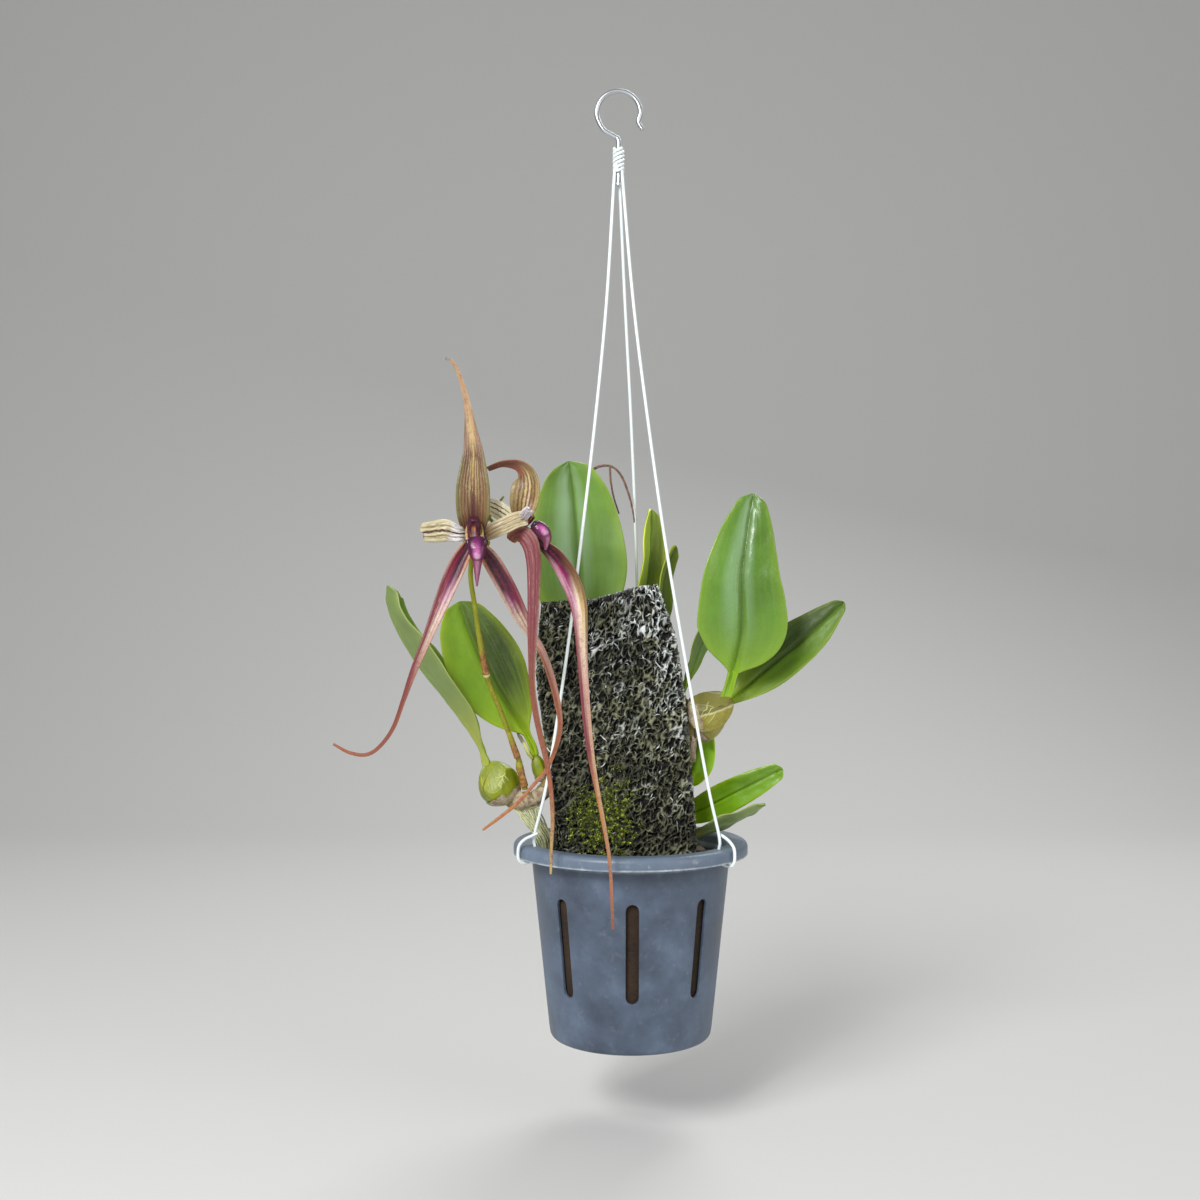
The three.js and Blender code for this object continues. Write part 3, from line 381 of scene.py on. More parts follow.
pot_piece = piece_of(pot_mesh, "pot_sheet", pot_plastic)
thicken = pot_piece.modifiers.new("sheet", "SOLIDIFY")
thicken.thickness = sheet_thickness / 1000
thicken.offset = 0
soften = pot_piece.modifiers.new("moulded_edges", "BEVEL")
soften.width = 0.00035
soften.segments = 2
soften.limit_method = "ANGLE"
soften.angle_limit = math.radians(50)
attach(pot_piece, "root")
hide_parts("pot")

# ---------------------------------------------------------------- potting mix
# Coarse bark chips with a little moss dust, packed round the foot of the slab. The plug below is one
# dark mass, and loose chips lie over its top and show through the pot's slots.

mix_top, mix_bottom = -13.0, -121.8
slab_hole = ((-46.0, 41.0), (-23.5, 10.0))
chips_on_top, chips_in_slots, mix_columns = 230, 64, 96
mix_reach, slot_depth = 54, 4.4  # how far chips lie from the axis, and how deep behind the wall

mix_mesh = new_bmesh()
mix_profile = [
    (0, mix_bottom), (48.4, mix_bottom), (49.4, mix_bottom + 3), (60.2, mix_top - 2), (58, mix_top),
    (30, mix_top), (0, mix_top),
]


def mix_corner(share, row):
    radius, z = mix_profile[row]
    turn = 2 * math.pi * share
    point = Vector((radius * math.cos(turn), radius * math.sin(turn), z))
    lump = 1.6 * noise.noise(point * 0.16) if z > mix_top - 3 else 0
    return from_pot(point.x, point.y, point.z + lump)


skin(mix_mesh, mix_columns, len(mix_profile) - 1, mix_corner)
draw = random.Random(31)


def add_chip(bm, centre, size, turn, finish):
    """A split chip of bark: a box cut across each way, with its corners knocked about."""
    chip = bmesh.new()
    bmesh.ops.create_cube(chip, size=1)
    bmesh.ops.subdivide_edges(chip, edges=chip.edges, cuts=1, use_grid_fill=True)
    for corner in chip.verts:
        rounder = 1 - 0.3 * (corner.co.length - 0.5)
        moved = [c * rounder * s + draw.uniform(-0.09, 0.09) * s for c, s in zip(corner.co, size)]
        corner.co = Vector(moved)
    bmesh.ops.transform(chip, matrix=Matrix.Translation(centre) @ turn, verts=chip.verts)
    for face in chip.faces:
        face.material_index = finish
    loose = bpy.data.meshes.new("chip")
    chip.to_mesh(loose)
    chip.free()
    bm.from_mesh(loose)
    bpy.data.meshes.remove(loose)


for k in range(chips_on_top):
    radius = mix_reach * math.sqrt(draw.uniform(0.0, 1.0))
    turn = draw.uniform(0, 2 * math.pi)
    x, y = radius * math.cos(turn), radius * math.sin(turn)
    (west, east), (south, north) = slab_hole
    if west - 4 < x < east + 4 and south - 3 < y < north + 3:
        continue
    flat = Matrix.Rotation(draw.uniform(0, 6.3), 4, "Z") @ Matrix.Rotation(draw.uniform(-0.6, 0.6), 4, "X")
    length = draw.uniform(5, 13)
    size = [length / 1000, length * draw.uniform(0.4, 0.8) / 1000, draw.uniform(2, 5) / 1000]
    add_chip(mix_mesh, from_pot(x, y, mix_top + draw.uniform(-1, 2.2)), size, flat, 1 + k % 2)
for k in range(chips_in_slots):
    turn = 2 * math.pi * (k % 8) / 8 + draw.uniform(-0.05, 0.05)
    z = slot_bottom + (slot_top - slot_bottom) * draw.uniform(0, 1)
    radius = on_wall(z)[0] - slot_depth
    centre = from_pot(radius * math.cos(turn), radius * math.sin(turn), z)
    size = [draw.uniform(2.4, 3.4) / 1000, draw.uniform(5, 9) / 1000, draw.uniform(5, 10) / 1000]
    upright = Matrix.Rotation(turn, 4, "Z") @ Matrix.Rotation(draw.uniform(-0.7, 0.7), 4, "X")
    add_chip(mix_mesh, centre, size, upright, 1 + k % 2)


def bark_finish(name, dark, light, roughness):
    bark = Finish(name, roughness=roughness)
    place = bark.place()
    grain = bark.cloud(260, 8, 0.7, 0.6, at=(1, 1, 3))
    blotch = bark.noise(place, 45, 3)
    bark.colour(bark.mix(bark.step(blotch, 0.35, 0.7), bark.ramp(grain, (0.3, dark), (0.7, light)), light))
    bark.bump(grain, 0.0012, 0.8)
    return bark


mix_piece = piece_of(
    mix_mesh, "potting_mix_bark",
    bark_finish("damp_bark", (22, 16, 11), (58, 42, 28), 0.95),
    bark_finish("red_bark", (52, 31, 20), (118, 76, 48), 0.8),
    bark_finish("grey_bark", (58, 48, 38), (128, 112, 92), 0.85),
)
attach(mix_piece, "root")
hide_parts("potting_mix")

# ---------------------------------------------------------------- fern slab
# A sawn slab of tree-fern trunk: a sponge of wiry black rootlets that branch and join round pits,
# painted dark as shade. Loose rootlets lie over it. Sponge and rootlets are painted paler towards
# its upper right corner, partly their own pale colour and partly painted light.

slab_bottom, slab_back = -66.0, 8.0
slab_left = [(-66, -44), (0, -49), (56, -54), (100, -60), (118, -60.5), (156, -57)]
slab_right = [(-66, 40), (0, 42), (57, 38.5), (107, 33), (131, 29), (164, 17.5)]
slab_top = [(-57, 153), (-25, 155), (4, 163), (18, 164.5)]
front_columns, side_columns, rear_columns, fine_rows, top_rows = 168, 28, 64, 262, 12
slab_columns = front_columns + rear_columns + 2 * side_columns
pit_depth, bare_foot = 4.6, 0.22  # millimetres, and the share of the height that the mix hides
noise.seed_set(5)


def along(line, position):
    """A value read off a broken line of (position, value) corners."""
    k = 1
    while k < len(line) - 1 and line[k][0] < position:
        k += 1
    (p0, v0), (p1, v1) = line[k - 1], line[k]
    return v0 + (v1 - v0) * (position - p0) / (p1 - p0)


def slab_front(z):
    return -21.5 + 0.045 * max(z, 0)


def slab_point(across, deep, up):
    """A point of the slab's block at shares of its width, depth and height."""
    top = along(slab_top, slab_top[0][0] + (slab_top[-1][0] - slab_top[0][0]) * across)
    z = slab_bottom + (top - slab_bottom) * up
    left, right = along(slab_left, z), along(slab_right, z)
    return Vector((left + (right - left) * across, slab_front(z) + (slab_back - slab_front(z)) * deep, z))


def rise(value, low, high):
    share = min(1.0, max(0.0, (value - low) / (high - low)))
    return share * share * (3 - 2 * share)


def sponge(point):
    """How deep the sponge lies under the sawn face here: 0 on a rootlet's crest, 1 in a pit."""
    x, y, z = point
    leaned = Vector((x - 0.3 * z, y, 0.66 * z))
    leaned += noise.noise_vector(leaned * 0.35) * 1.7
    big = noise.voronoi(leaned * 0.215)[0]
    small = noise.voronoi(leaned * 0.4)[0]
    weave = noise.noise(leaned * 0.5)
    pit = rise(noise.noise(leaned * 0.19 + Vector((7, 3, 1))) + 0.3 * weave, 0.02, 0.34)
    coarse = 0.02 + 0.5 * max(0.0, weave) + 1.0 * rise(big[1] - big[0], 0.0, 0.36) + 0.2 * pit
    fine = 0.4 + 0.5 * noise.noise(leaned * 0.7) + 0.8 * rise(small[1] - small[0], 0.0, 0.42) + 0.5 * pit
    return min(1.0, max(0.0, min(coarse, fine)))


def pale_and_lit(point):
    """How pale the rootlets are, rising to the upper right: partly their own colour, partly painted light.
    """
    grown = 0.16 + 0.006 * (point.x + 6) + 0.0053 * (point.z - 70)
    return grown + 0.6 * noise.noise(point * 0.085)


def slab_column(u):
    """Shares of the width and depth at a column, counted round from the front's left corner."""
    column = round(u * slab_columns)
    if column <= front_columns:
        return column / front_columns, 0.0
    if column <= front_columns + side_columns:
        return 1.0, (column - front_columns) / side_columns
    if column <= slab_columns - side_columns:
        return 1 - (column - front_columns - side_columns) / rear_columns, 1.0
    return 0.0, (slab_columns - column) / side_columns


# Rows from the middle of the underside, up the sides, and in over the top: height and spread.
slab_rows = [(0.0, 0.0), (0.0, 1.0), (0.08, 1.0), (0.16, 1.0), (bare_foot, 1.0)]
slab_rows += [(0.25 + 0.75 * k / fine_rows, 1.0) for k in range(fine_rows + 1)]
slab_rows += [(1.0, 1 - k / top_rows) for k in range(1, top_rows + 1)]

slab_mesh = new_bmesh()
bmesh.ops.create_grid(slab_mesh, x_segments=slab_columns, y_segments=len(slab_rows) - 1, size=0.5)
depths = {}
for corner in slab_mesh.verts:
    across, deep = slab_column(corner.co.x + 0.5)
    up, spread = slab_rows[round((corner.co.y + 0.5) * (len(slab_rows) - 1))]
    point = slab_point(0.5 + (across - 0.5) * spread, 0.5 + (deep - 0.5) * spread, up)
    sideways = [(share == 1) - (share == 0) if spread == 1 else 0 for share in (across, deep)]
    inward = -Vector((*sideways, 1 if up == 1 else 0))
    depth = sponge(point) if up > bare_foot else 0.5
    depths[corner] = depth, pale_and_lit(point)
    ragged = 0.7 * (noise.noise(point * 0.9) + 0.2) if up > bare_foot else 0
    reach = pit_depth * depth + ragged
    corner.co = from_pot(*(point + inward * reach * (0.55 if inward.length > 1.1 else 1)))
slab_uv = slab_mesh.loops.layers.uv.active
for face in slab_mesh.faces:
    face.smooth = True
    for loop in face.loops:
        loop[slab_uv].uv = 1 - depths[loop.vert][0], depths[loop.vert][1]
bmesh.ops.remove_doubles(slab_mesh, verts=slab_mesh.verts, dist=1e-6)

sponge_skin = Finish("slab_sponge", roughness=0.72)
sponge_place = sponge_skin.place()
crest = sponge_skin.axis(sponge_skin.place(by="UV"), "X")
pale_and_lit_share = sponge_skin.axis(sponge_skin.place(by="UV"), "Y")
sponge_grain = sponge_skin.noise(sponge_place, 1300, 3, 0.6)
sponge_patch = sponge_skin.noise(sponge_place, 190, 4, 0.65)
crest = sponge_skin.plus(crest, sponge_skin.scaled(sponge_grain, 0.5, -0.25))
# Painted shade and light: the sponge is coloured by how deep it lies, near black in its pits where shade
# falls, and lightest on its crests.
sponge_dark = sponge_skin.ramp(
    crest, (0.24, (4, 4, 3)), (0.45, (25, 26, 19)), (0.64, (70, 71, 51)), (0.94, (138, 139, 108)),
)
sponge_pale = sponge_skin.ramp(
    crest, (0.26, (5, 5, 5)), (0.46, (36, 38, 35)), (0.66, (108, 112, 106)), (0.94, (222, 227, 226)),
)
# Partly painted light: the sponge turns pale where this share is high, most towards the upper right.
sponge_share = sponge_skin.plus(pale_and_lit_share, sponge_skin.scaled(sponge_patch, 1.4, -0.7))
sponge_tint = sponge_skin.mix(sponge_skin.step(sponge_share, 0.25, 0.85), sponge_dark, sponge_pale)
# Painted shade: where that share is low, in patches and towards the lower left, the sponge is darkened
# towards black.
sponge_tint = sponge_skin.mix(sponge_skin.step(pale_and_lit_share, -0.3, 0.3, 0.6, 0), sponge_tint, (4, 4, 3))
sponge_gloom = sponge_skin.step(sponge_skin.noise(sponge_place, 44, 3), 0.5, 0.64, 0, 0.5)
sponge_skin.colour(sponge_skin.mix(sponge_gloom, sponge_tint, (6, 6, 4)))
sponge_skin.bump(sponge_grain, 0.0005, 0.6)

slab_piece = piece_of(slab_mesh, "fern_slab_sponge", sponge_skin)
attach(slab_piece, "root")
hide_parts("fern_slab")

draw = random.Random(5)
slab_faces = {"front": 0.62, "back": 0.8, "left": 0.88, "right": 0.96, "top": 1.0}
loose_rootlets = 3000
slab_width, slab_thickness, slab_height = 95, 29, 228


def rootlet():
    """A bent line over one face of the slab, that rises out of the sponge and dives back into it."""
    chance = draw.uniform(0, 1)
    side = next(name for name, limit in slab_faces.items() if chance <= limit)
    a, b = draw.uniform(0.0, 1.0), draw.uniform(0.27, 1.0)
    heading, curl = math.radians(draw.gauss(68, 34)), draw.uniform(-0.34, 0.34)
    stride, shallow, count = draw.uniform(0.8, 1.5), draw.uniform(0.1, 2.4), draw.randint(3, 6)
    thick = draw.uniform(0.26, 0.46)
    line = []
    for k in range(count + 1):
        if not (0 <= a <= 1 and 0 <= b <= 1):
            break
        arch = math.sin(math.pi * k / count)
        where, out = {
            "front": ((a, 0, b), (0, -1, 0)),
            "back": ((1 - a, 1, b), (0, 1, 0)),
            "left": ((0, 1 - a, b), (-1, 0, 0)),
            "right": ((1, a, b), (1, 0, 0)),
            "top": ((a, b, 1), (0, 0, 1)),
        }[side]
        sunk = shallow + 1.9 * (1 - arch)
        line.append((slab_point(*where) - Vector(out) * sunk, thick * (0.6 + 0.5 * arch)))
        wide = slab_width if side in ("front", "back", "top") else slab_thickness
        a += math.cos(heading) * stride / wide
        b += math.sin(heading) * stride / (slab_thickness if side == "top" else slab_height)
        heading += curl + draw.uniform(-0.5, 0.5)
    return line


def tube_lines(name, lines, *finishes):
    """A mesh of thin four-sided tubes: each line is a list of points, in pot millimetres, and radii."""
    curve = bpy.data.curves.new(name, "CURVE")
    for finish in finishes:
        curve.materials.append(finish.made)
    curve.dimensions = "3D"
    curve.bevel_depth = 1.0
    curve.bevel_resolution = 0
    curve.use_fill_caps = True
    for line, finish in lines:
        spline = curve.splines.new("POLY")
        spline.points.add(len(line) - 1)
        spline.points.foreach_set("co", [c for p, _ in line for c in (*from_pot(*p), 1.0)])
        spline.points.foreach_set("radius", [r / 1000 for _, r in line])
        spline.material_index = finish
    holder = bpy.data.objects.new(name, curve)
    bpy.context.scene.collection.objects.link(holder)
    bpy.context.view_layer.update()
    mesh = bpy.data.meshes.new_from_object(holder.evaluated_get(bpy.context.evaluated_depsgraph_get()))
    bpy.data.objects.remove(holder)
    bpy.data.curves.remove(curve)
    return mesh


def rootlet_finish(name, dark, light):
    fibre = Finish(name, roughness=0.6)
    fibre.colour(fibre.ramp(fibre.cloud(420, 4, 0.6), (0.34, dark), (0.66, light)))
    return fibre


def dark_or_pale(point):
    """0 for a black rootlet, 1 for olive-grey, 2 for grey and 3 for a pale one, partly painted light."""
    chance, lit = draw.uniform(0, 1), max(0.03, pale_and_lit(point))
    if chance > 1.0 - 0.4 * lit ** 1.5:
        return 3
    if chance > 1.0 - 0.9 * lit:
        return 2
    return 0 if chance < 0.34 - 0.2 * lit else 1


rootlet_lines = []
while len(rootlet_lines) < loose_rootlets:
    line = rootlet()
    if len(line) > 2 and sponge(line[len(line) // 2][0]) < 0.75:
        rootlet_lines.append((line, dark_or_pale(line[len(line) // 2][0])))
rootlet_finishes = (
    rootlet_finish("black_rootlet", (14, 14, 11), (44, 44, 35)),
    rootlet_finish("olive_rootlet", (46, 48, 32), (96, 98, 70)),
    rootlet_finish("grey_rootlet", (88, 92, 86), (146, 150, 142)),
    rootlet_finish("pale_lit_rootlet", (150, 154, 148), (232, 236, 234)),
)
rootlet_mesh = new_bmesh()
rootlet_mesh.from_mesh(tube_lines("rootlets", rootlet_lines, *rootlet_finishes))
rootlet_piece = piece_of(rootlet_mesh, "fern_slab_rootlets", *rootlet_finishes, turn_out=False)
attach(rootlet_piece, "root")

# ---------------------------------------------------------------- moss
# Living yellow-green moss that has grown over the slab's lower front. Its short shoots root in the
# sponge, and each carries a few fine pointed leaflets.

moss_middle, moss_reach, moss_foot = (-17, 17), (25, 30), -8
shoots, leaflets = 1300, 6

moss_finish = Finish("moss_leaflet", roughness=0.6)
moss_cloud = moss_finish.cloud(420, 3, 0.6)
moss_finish.colour(moss_finish.ramp(
    moss_cloud, (0.36, (28, 33, 8)), (0.5, (66, 76, 16)), (0.59, (128, 142, 34)), (0.7, (214, 222, 92)),
))
moss_mesh = new_bmesh()
draw = random.Random(8)
grown = 0
while grown < shoots:
    x = draw.gauss(moss_middle[0], moss_reach[0] * 0.46)
    z = draw.gauss(moss_middle[1] - 2, moss_reach[1] * 0.5)
    foot = Vector((x, slab_front(z) + draw.uniform(0.2, 3.0), z))
    away = math.hypot((x - moss_middle[0]) / moss_reach[0], (z - moss_middle[1]) / moss_reach[1])
    if z < moss_foot or away > 1.15 or noise.noise(foot * 0.2) < away * 0.8 - 0.5:
        continue
    grown += 1
    lean = Vector((draw.uniform(-0.7, 0.7), -1, draw.uniform(-0.2, 0.9))).normalized()
    height = draw.uniform(1.0, 3.0)
    for k in range(leaflets):
        at = foot + lean * height * (k + 1) / leaflets
        around = draw.uniform(0, 2 * math.pi)
        side = lean.orthogonal().normalized()
        out = side * math.cos(around) + lean.cross(side) * math.sin(around)
        point = (out + lean * draw.uniform(0.2, 1.0)).normalized() * draw.uniform(1.2, 2.4)
        wide = lean.cross(out) * draw.uniform(0.26, 0.46)
        middle = at + point * 0.45
        corners = [moss_mesh.verts.new(from_pot(*c)) for c in (at, middle + wide, at + point, middle - wide)]
        moss_mesh.faces.new(corners)
moss_piece = piece_of(moss_mesh, "moss_cushion", moss_finish, turn_out=False)
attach(moss_piece, "root")

# ---------------------------------------------------------------- rhizomes and roots
# Woody creeping stems as thick as a pencil, ringed at each joint and wrapped in the torn papery
# scales of old shoots. Pale roots run from the left one over the slab's foot into the bark.


def smooth_row(rows, share):
    """The row of numbers a share of the way along a smooth line through the given rows."""
    at = min(max(share, 0.0), 1.0) * (len(rows) - 1)
    k = min(int(at), len(rows) - 2)
    f = at - k
    b, c = rows[k], rows[k + 1]
    a = rows[k - 1] if k > 0 else [2 * p - q for p, q in zip(b, c)]
    d = rows[k + 2] if k + 2 < len(rows) else [2 * q - p for p, q in zip(b, c)]
    return [
        q + 0.5 * f * (r - p + f * (2 * p - 5 * q + 4 * r - s + f * (3 * (q - r) + s - p)))
        for p, q, r, s in zip(a, b, c, d)
    ]


def capped(steps, inset=0.35):
    """Shares of the way along, each with a share of the full width: rings that round off both ends."""
    first = inset * 0.35 / steps
    between = [(max(k, inset) / steps if k < steps else 1 - inset / steps, 1) for k in range(steps + 1)]
    return [(0, 0), (0, 0.6), (first, 0.88), *between, (1 - first, 0.88), (1, 0.6), (1, 0)]


def directions(rows, steps):
    """At each of steps + 1 shares of a line: its middle, its direction and a first axis square to it."""
    middles = [Vector(smooth_row(rows, k / steps)[:3]) for k in range(steps + 1)]
    across = Vector((1, 0, 0))
    found = []
    for k, middle in enumerate(middles):
        ahead = (middles[min(k + 1, steps)] - middles[max(k - 1, 0)]).normalized()
        across = (across - ahead * across.dot(ahead)).normalized()
        found.append((middle, ahead, across))
    return found


def stem(bm, rows, steps, sides=10, finish=0, swell=None):
    """A round or oval stem. rows hold x, y, z, radius and, if oval, the depth across it."""
    rows = [[*row, row[3]] if len(row) < 5 else list(row) for row in rows]
    frames = directions(rows, steps)
    rings = capped(steps)

    def place(u, ring):
        share, full = rings[ring]
        k = min(int(share * steps + 1e-6), steps - 1)
        f = share * steps - k
        middle = Vector(smooth_row(rows, share)[:3])
        across = frames[k][2].lerp(frames[k + 1][2], f).normalized()
        over = frames[k][1].lerp(frames[k + 1][1], f).normalized().cross(across)
        radius, depth = smooth_row(rows, share)[3:5]
        turn = 2 * math.pi * u
        grown = full * (swell(u, share, middle) if swell else 1)
        return from_pot(*(
            middle + across * math.cos(turn) * radius * grown + over * math.sin(turn) * depth * grown
        ))

    skin(bm, sides, len(rings) - 1, place, finish, lay=lambda u, ring: (u, rings[ring][0]))


def paper_finish(name, pale, dark, roughness=0.75):
    paper = Finish(name, roughness=roughness)
    fibres = paper.cloud(3, 5, 0.6, 0.4, at=(26, 5, 1), by="UV")
    blotch = paper.cloud(240, 4, 0.6)
    stained = paper.step(blotch, 0.4, 0.66)
    paper.colour(paper.mix(stained, paper.ramp(fibres, (0.32, dark), (0.62, pale)), dark))
    paper.bump(fibres, 0.0007, 0.7)
    return paper


rhizome_rows = {
    "rhizome_left": [
        (-79, -15, 27, 3), (-74, -14, 26, 4.4), (-68, -13, 27, 5.2), (-62, -12, 28, 4.2),
        (-57, -11, 31, 4.6), (-54, -10, 36, 3.4), (-53.5, -9, 41, 2.6)],
    "rhizome_right": [
        (39.5, -7, 50, 2), (38.5, -6, 60, 3), (37.5, -5, 70, 3.6), (36.5, -4, 80, 3.4), (34.5, -2, 90, 2.2)],
    "rhizome_back": [
        (26, 10, -10, 2.4), (27, 10.5, 8, 3), (27, 10.5, 30, 2.8), (26, 10.5, 56, 3), (21, 10.5, 80, 3.2),
        (6, 10.5, 90, 3), (-10, 10.5, 92, 3.2), (-27, 10.5, 86, 2.6)],
}
scale_columns, scale_rows = 24, 14
# Torn scales: the rhizome, how far along it a scale starts and ends, its turn and the turn it wraps.
scales = {
    "rhizome_left": [
        (0.02, 0.3, -1.2, 4.4), (0.28, 0.55, 0.4, 4.0), (0.5, 0.78, -0.6, 4.2), (0.72, 0.95, 1.2, 3.8)
    ],
    "rhizome_right": [(0.05, 0.4, 0.0, 4.0), (0.42, 0.75, 1.6, 4.2), (0.7, 0.95, 3.0, 3.6)],
    "rhizome_back": [
        (0.04, 0.2, 0.0, 4.2), (0.26, 0.4, 1.5, 4.0), (0.5, 0.64, 3.0, 4.2), (0.8, 0.94, 1.0, 4.2)
    ],
}

scale_paper = paper_finish("papery_scale", (206, 190, 160), (136, 116, 92))
rhizome_bark = Finish("rhizome_bark", roughness=0.7)
rings = rhizome_bark.cloud(2.2, 4, 0.6, at=(1, 30, 1), by="UV")
rhizome_bark.colour(rhizome_bark.ramp(
    rings, (0.3, (86, 66, 40)), (0.5, (140, 122, 76)), (0.7, (164, 150, 96)),
))
rhizome_bark.bump(rings, 0.0008, 0.8)

bract_skin = Finish("pale_bract", roughness=0.55)
down_bract = bract_skin.axis(bract_skin.place(by="UV"), "Y")
bract_skin.colour(bract_skin.ramp(
    down_bract, (0.1, (96, 88, 74)), (0.36, (140, 132, 100)), (0.46, (214, 216, 132)), (0.9, (168, 172, 84)),
))

bract_rows = [
    (-72.5, -12, 70, 0.4), (-70, -12.6, 66, 1.2), (-67.5, -12.8, 62, 1.1), (-65.2, -12.5, 57, 1.3),
    (-62.5, -11.6, 53, 1),
]


def crumpled(u, share, middle):
    return 1 + 0.3 * noise.noise(middle * 0.6 + Vector((9 * u, 0, 0)))


for node, rows in rhizome_rows.items():
    rhizome_mesh = new_bmesh()
    count = 12 * (len(rows) - 1)

    def ringed(u, share, middle):
        bark = noise.noise(middle * 0.35 + Vector((0, 0, 9 * u)))
        return 1 + 0.05 * math.sin(share * len(rows) * 5.2) + 0.07 * bark

    stem(rhizome_mesh, rows, count, 20, 0, ringed)
    for start, end, turn, wrap in scales[node]:
        def scale_corner(u, k):
            share = start + (end - start) * k / scale_rows
            *middle, radius = smooth_row(rows, share)
            ends = (min(share + 0.02, 1), share - 0.02)
            beyond, before = (Vector(smooth_row(rows, at)[:3]) for at in ends)
            ahead = (beyond - before).normalized()
            first = (Vector((1, 0, 0)) - ahead * ahead.x).normalized()
            angle = turn + wrap * (u - 0.5) * (1 - 0.35 * k / scale_rows)
            torn = 1.4 * noise.noise(Vector((u * 5, k * 0.12, start * 40))) if k == scale_rows else 0
            wavy = noise.noise(Vector((u * 6, k * 0.4, start * 9)))
            stand = radius + 0.35 + 0.9 * (k / scale_rows) ** 2 + 0.25 * wavy
            out = first * math.cos(angle) + ahead.cross(first) * math.sin(angle)
            return from_pot(*(Vector(middle) + out * stand + ahead * torn * 2))

        skin(rhizome_mesh, scale_columns, scale_rows, scale_corner, 1)
    if node == "rhizome_left":
        stem(rhizome_mesh, bract_rows, 20, 12, 2, crumpled)
    rhizome_piece = piece_of(rhizome_mesh, node + "_barked", rhizome_bark, scale_paper, bract_skin)
    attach(rhizome_piece, "root")
    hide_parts(node)

draw = random.Random(12)
strands = 30
root_mesh = new_bmesh()
stem(root_mesh, [(-78, -14, 23, 1), (-70, -13, 22, 1.6), (-61, -12, 23.5, 1.8), (-56, -11, 26, 1.2)], 18, 14)
for k in range(strands):
    spread = -2.7 + 5.4 * k / (strands - 1)
    thick = draw.uniform(0.32, 0.62)
    sway = [draw.uniform(-2.4, 2.4) for _ in range(6)]
    stem(root_mesh, [
        (-67.5 + 3.3 * spread + sway[0], -12.5, 22.5, thick),
        (-61 + 2.0 * spread + sway[1], -13 + 1.6 * spread + sway[2], 13.5, thick),
        (-55 + 1.1 * spread + sway[3], -12 + 2.6 * spread + sway[4], 3, thick * 0.95),
        (-52.5 + 0.6 * spread + sway[5] * 0.4, -11 + 2.9 * spread, mix_top + 1, thick * 0.8),
    ], 16, 6)
root_skin = Finish("root_skin", roughness=0.6)
bands = root_skin.cloud(4, 4, 0.6, at=(1, 9, 1), by="UV")
root_skin.colour(root_skin.ramp(
    bands, (0.3, (134, 138, 92)), (0.52, (196, 198, 152)), (0.7, (224, 222, 194)),
))
root_skin.bump(root_skin.cloud(700, 4), 0.0003, 0.6)
root_piece = piece_of(root_mesh, "roots_of_the_left_shoot", root_skin)
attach(root_piece, "root")
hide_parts("roots")

# ---------------------------------------------------------------- pseudobulbs
# Egg-shaped stores of water at the foot of each leaf, plump and glossy when young and creased into
# soft ribs as they age, each with the scar of its leaf on top and a torn papery cup below.

bulbs = {
    "bulb_left": ((-84, -14, 38), (13, 11.5, 14.5), (-24, 0)),
    "bulb_left_young": ((-58.5, -9, 47), (4.6, 4.6, 9), (-16, 0)),
    "bulb_right": ((51, -9, 84), (12.5, 12, 15.5), (66, 0)),
    "bulb_right_rear": ((51, 4, 74), (9, 9, 13), (50, 0)),
    "bulb_back_left": ((-27, 19, 98), (9, 8, 13), (-8, 0)),
    "bulb_back_middle": ((-4, 19, 101), (7.5, 7.5, 11), (0, 0)),
    "bulb_back_right": ((14, 19, 97), (7.5, 7.5, 11), (14, 0)),
    "bulb_back_upper": ((31, 17, 84), (6, 6.5, 10), (24, 0)),
    "bulb_back_inner": ((30, 19, 23), (6, 6, 8.5), (20, 0)),
    "bulb_back_low": ((22, 19, 8), (6, 6, 8.5), (50, 0)),
    "bulb_back_lowest": ((22, 20, -5), (5, 6, 6.5), (70, 0)),
}
ribs, rib_height, crease_rows = 6, 0.03, 9
bulb_columns, bulb_rows, cup_columns, cup_rows = 64, 48, 48, 10
bulb_flats = {
    "bulb_left": [((-0.3, -0.85, 0.42), 7.6), ((0.75, -0.6, 0.1), 8.6)],
    "bulb_right": [((-0.15, -0.6, 0.8), 6.8), ((0.25, -0.85, -0.45), 7.6), ((-0.4, -0.9, -0.1), 8.2)],
}


def bulb_finish(name, shade, light, brown, worn, ridge=None):
    """ridge holds the colour above a slanting pale line over the front of the old bulb."""
    finish = Finish(name, roughness=0.38)
    place = finish.place()
    cloud = finish.noise(place, 70, 5, 0.6)
    veins = finish.cloud(2.4, 5, 0.6, 0.7, at=(16, 2.2, 1), by="UV")
    colour = finish.ramp(cloud, (0.34, shade), (0.64, light))
    colour = finish.mix(finish.times(finish.step(veins, 0.56, 0.7), 0.45), colour, brown)
    marks = finish.step(finish.noise(place, 330, 6, 0.7), 0.6 - 0.1 * worn, 0.72)
    colour = finish.mix(finish.times(marks, 0.5), colour, brown)
    if ridge:
        axes = [finish.axis(place, axis) for axis in "XZ"]
        above = finish.scaled(axes[0], -0.352, axes[1])
        above = finish.plus(above, finish.scaled(cloud, 0.004, 0.416))
        colour = finish.mix(finish.step(above, -0.0006, 0.0008, 0, 0.85), colour, ridge)
        line = finish.step(finish.far(above), 0.0003, 0.0011, 0.85, 0)
        colour = finish.mix(line, colour, (206, 198, 150))
    finish.colour(colour)
    finish.bump(veins, 0.0007, 0.4)
    return finish


def faceted(node, shape):
    """Dents the shape in where a face is pressed flat, with a low ridge round the flat."""
    for direction, limit in bulb_flats.get(node, ()):
        facing = Vector(direction).normalized()
        beyond = shape.dot(facing) - limit
        if beyond > 0:
            shape -= facing * beyond * 0.72
        shape += facing * 0.5 * math.exp(-((beyond / 0.9) ** 2))
    return shape


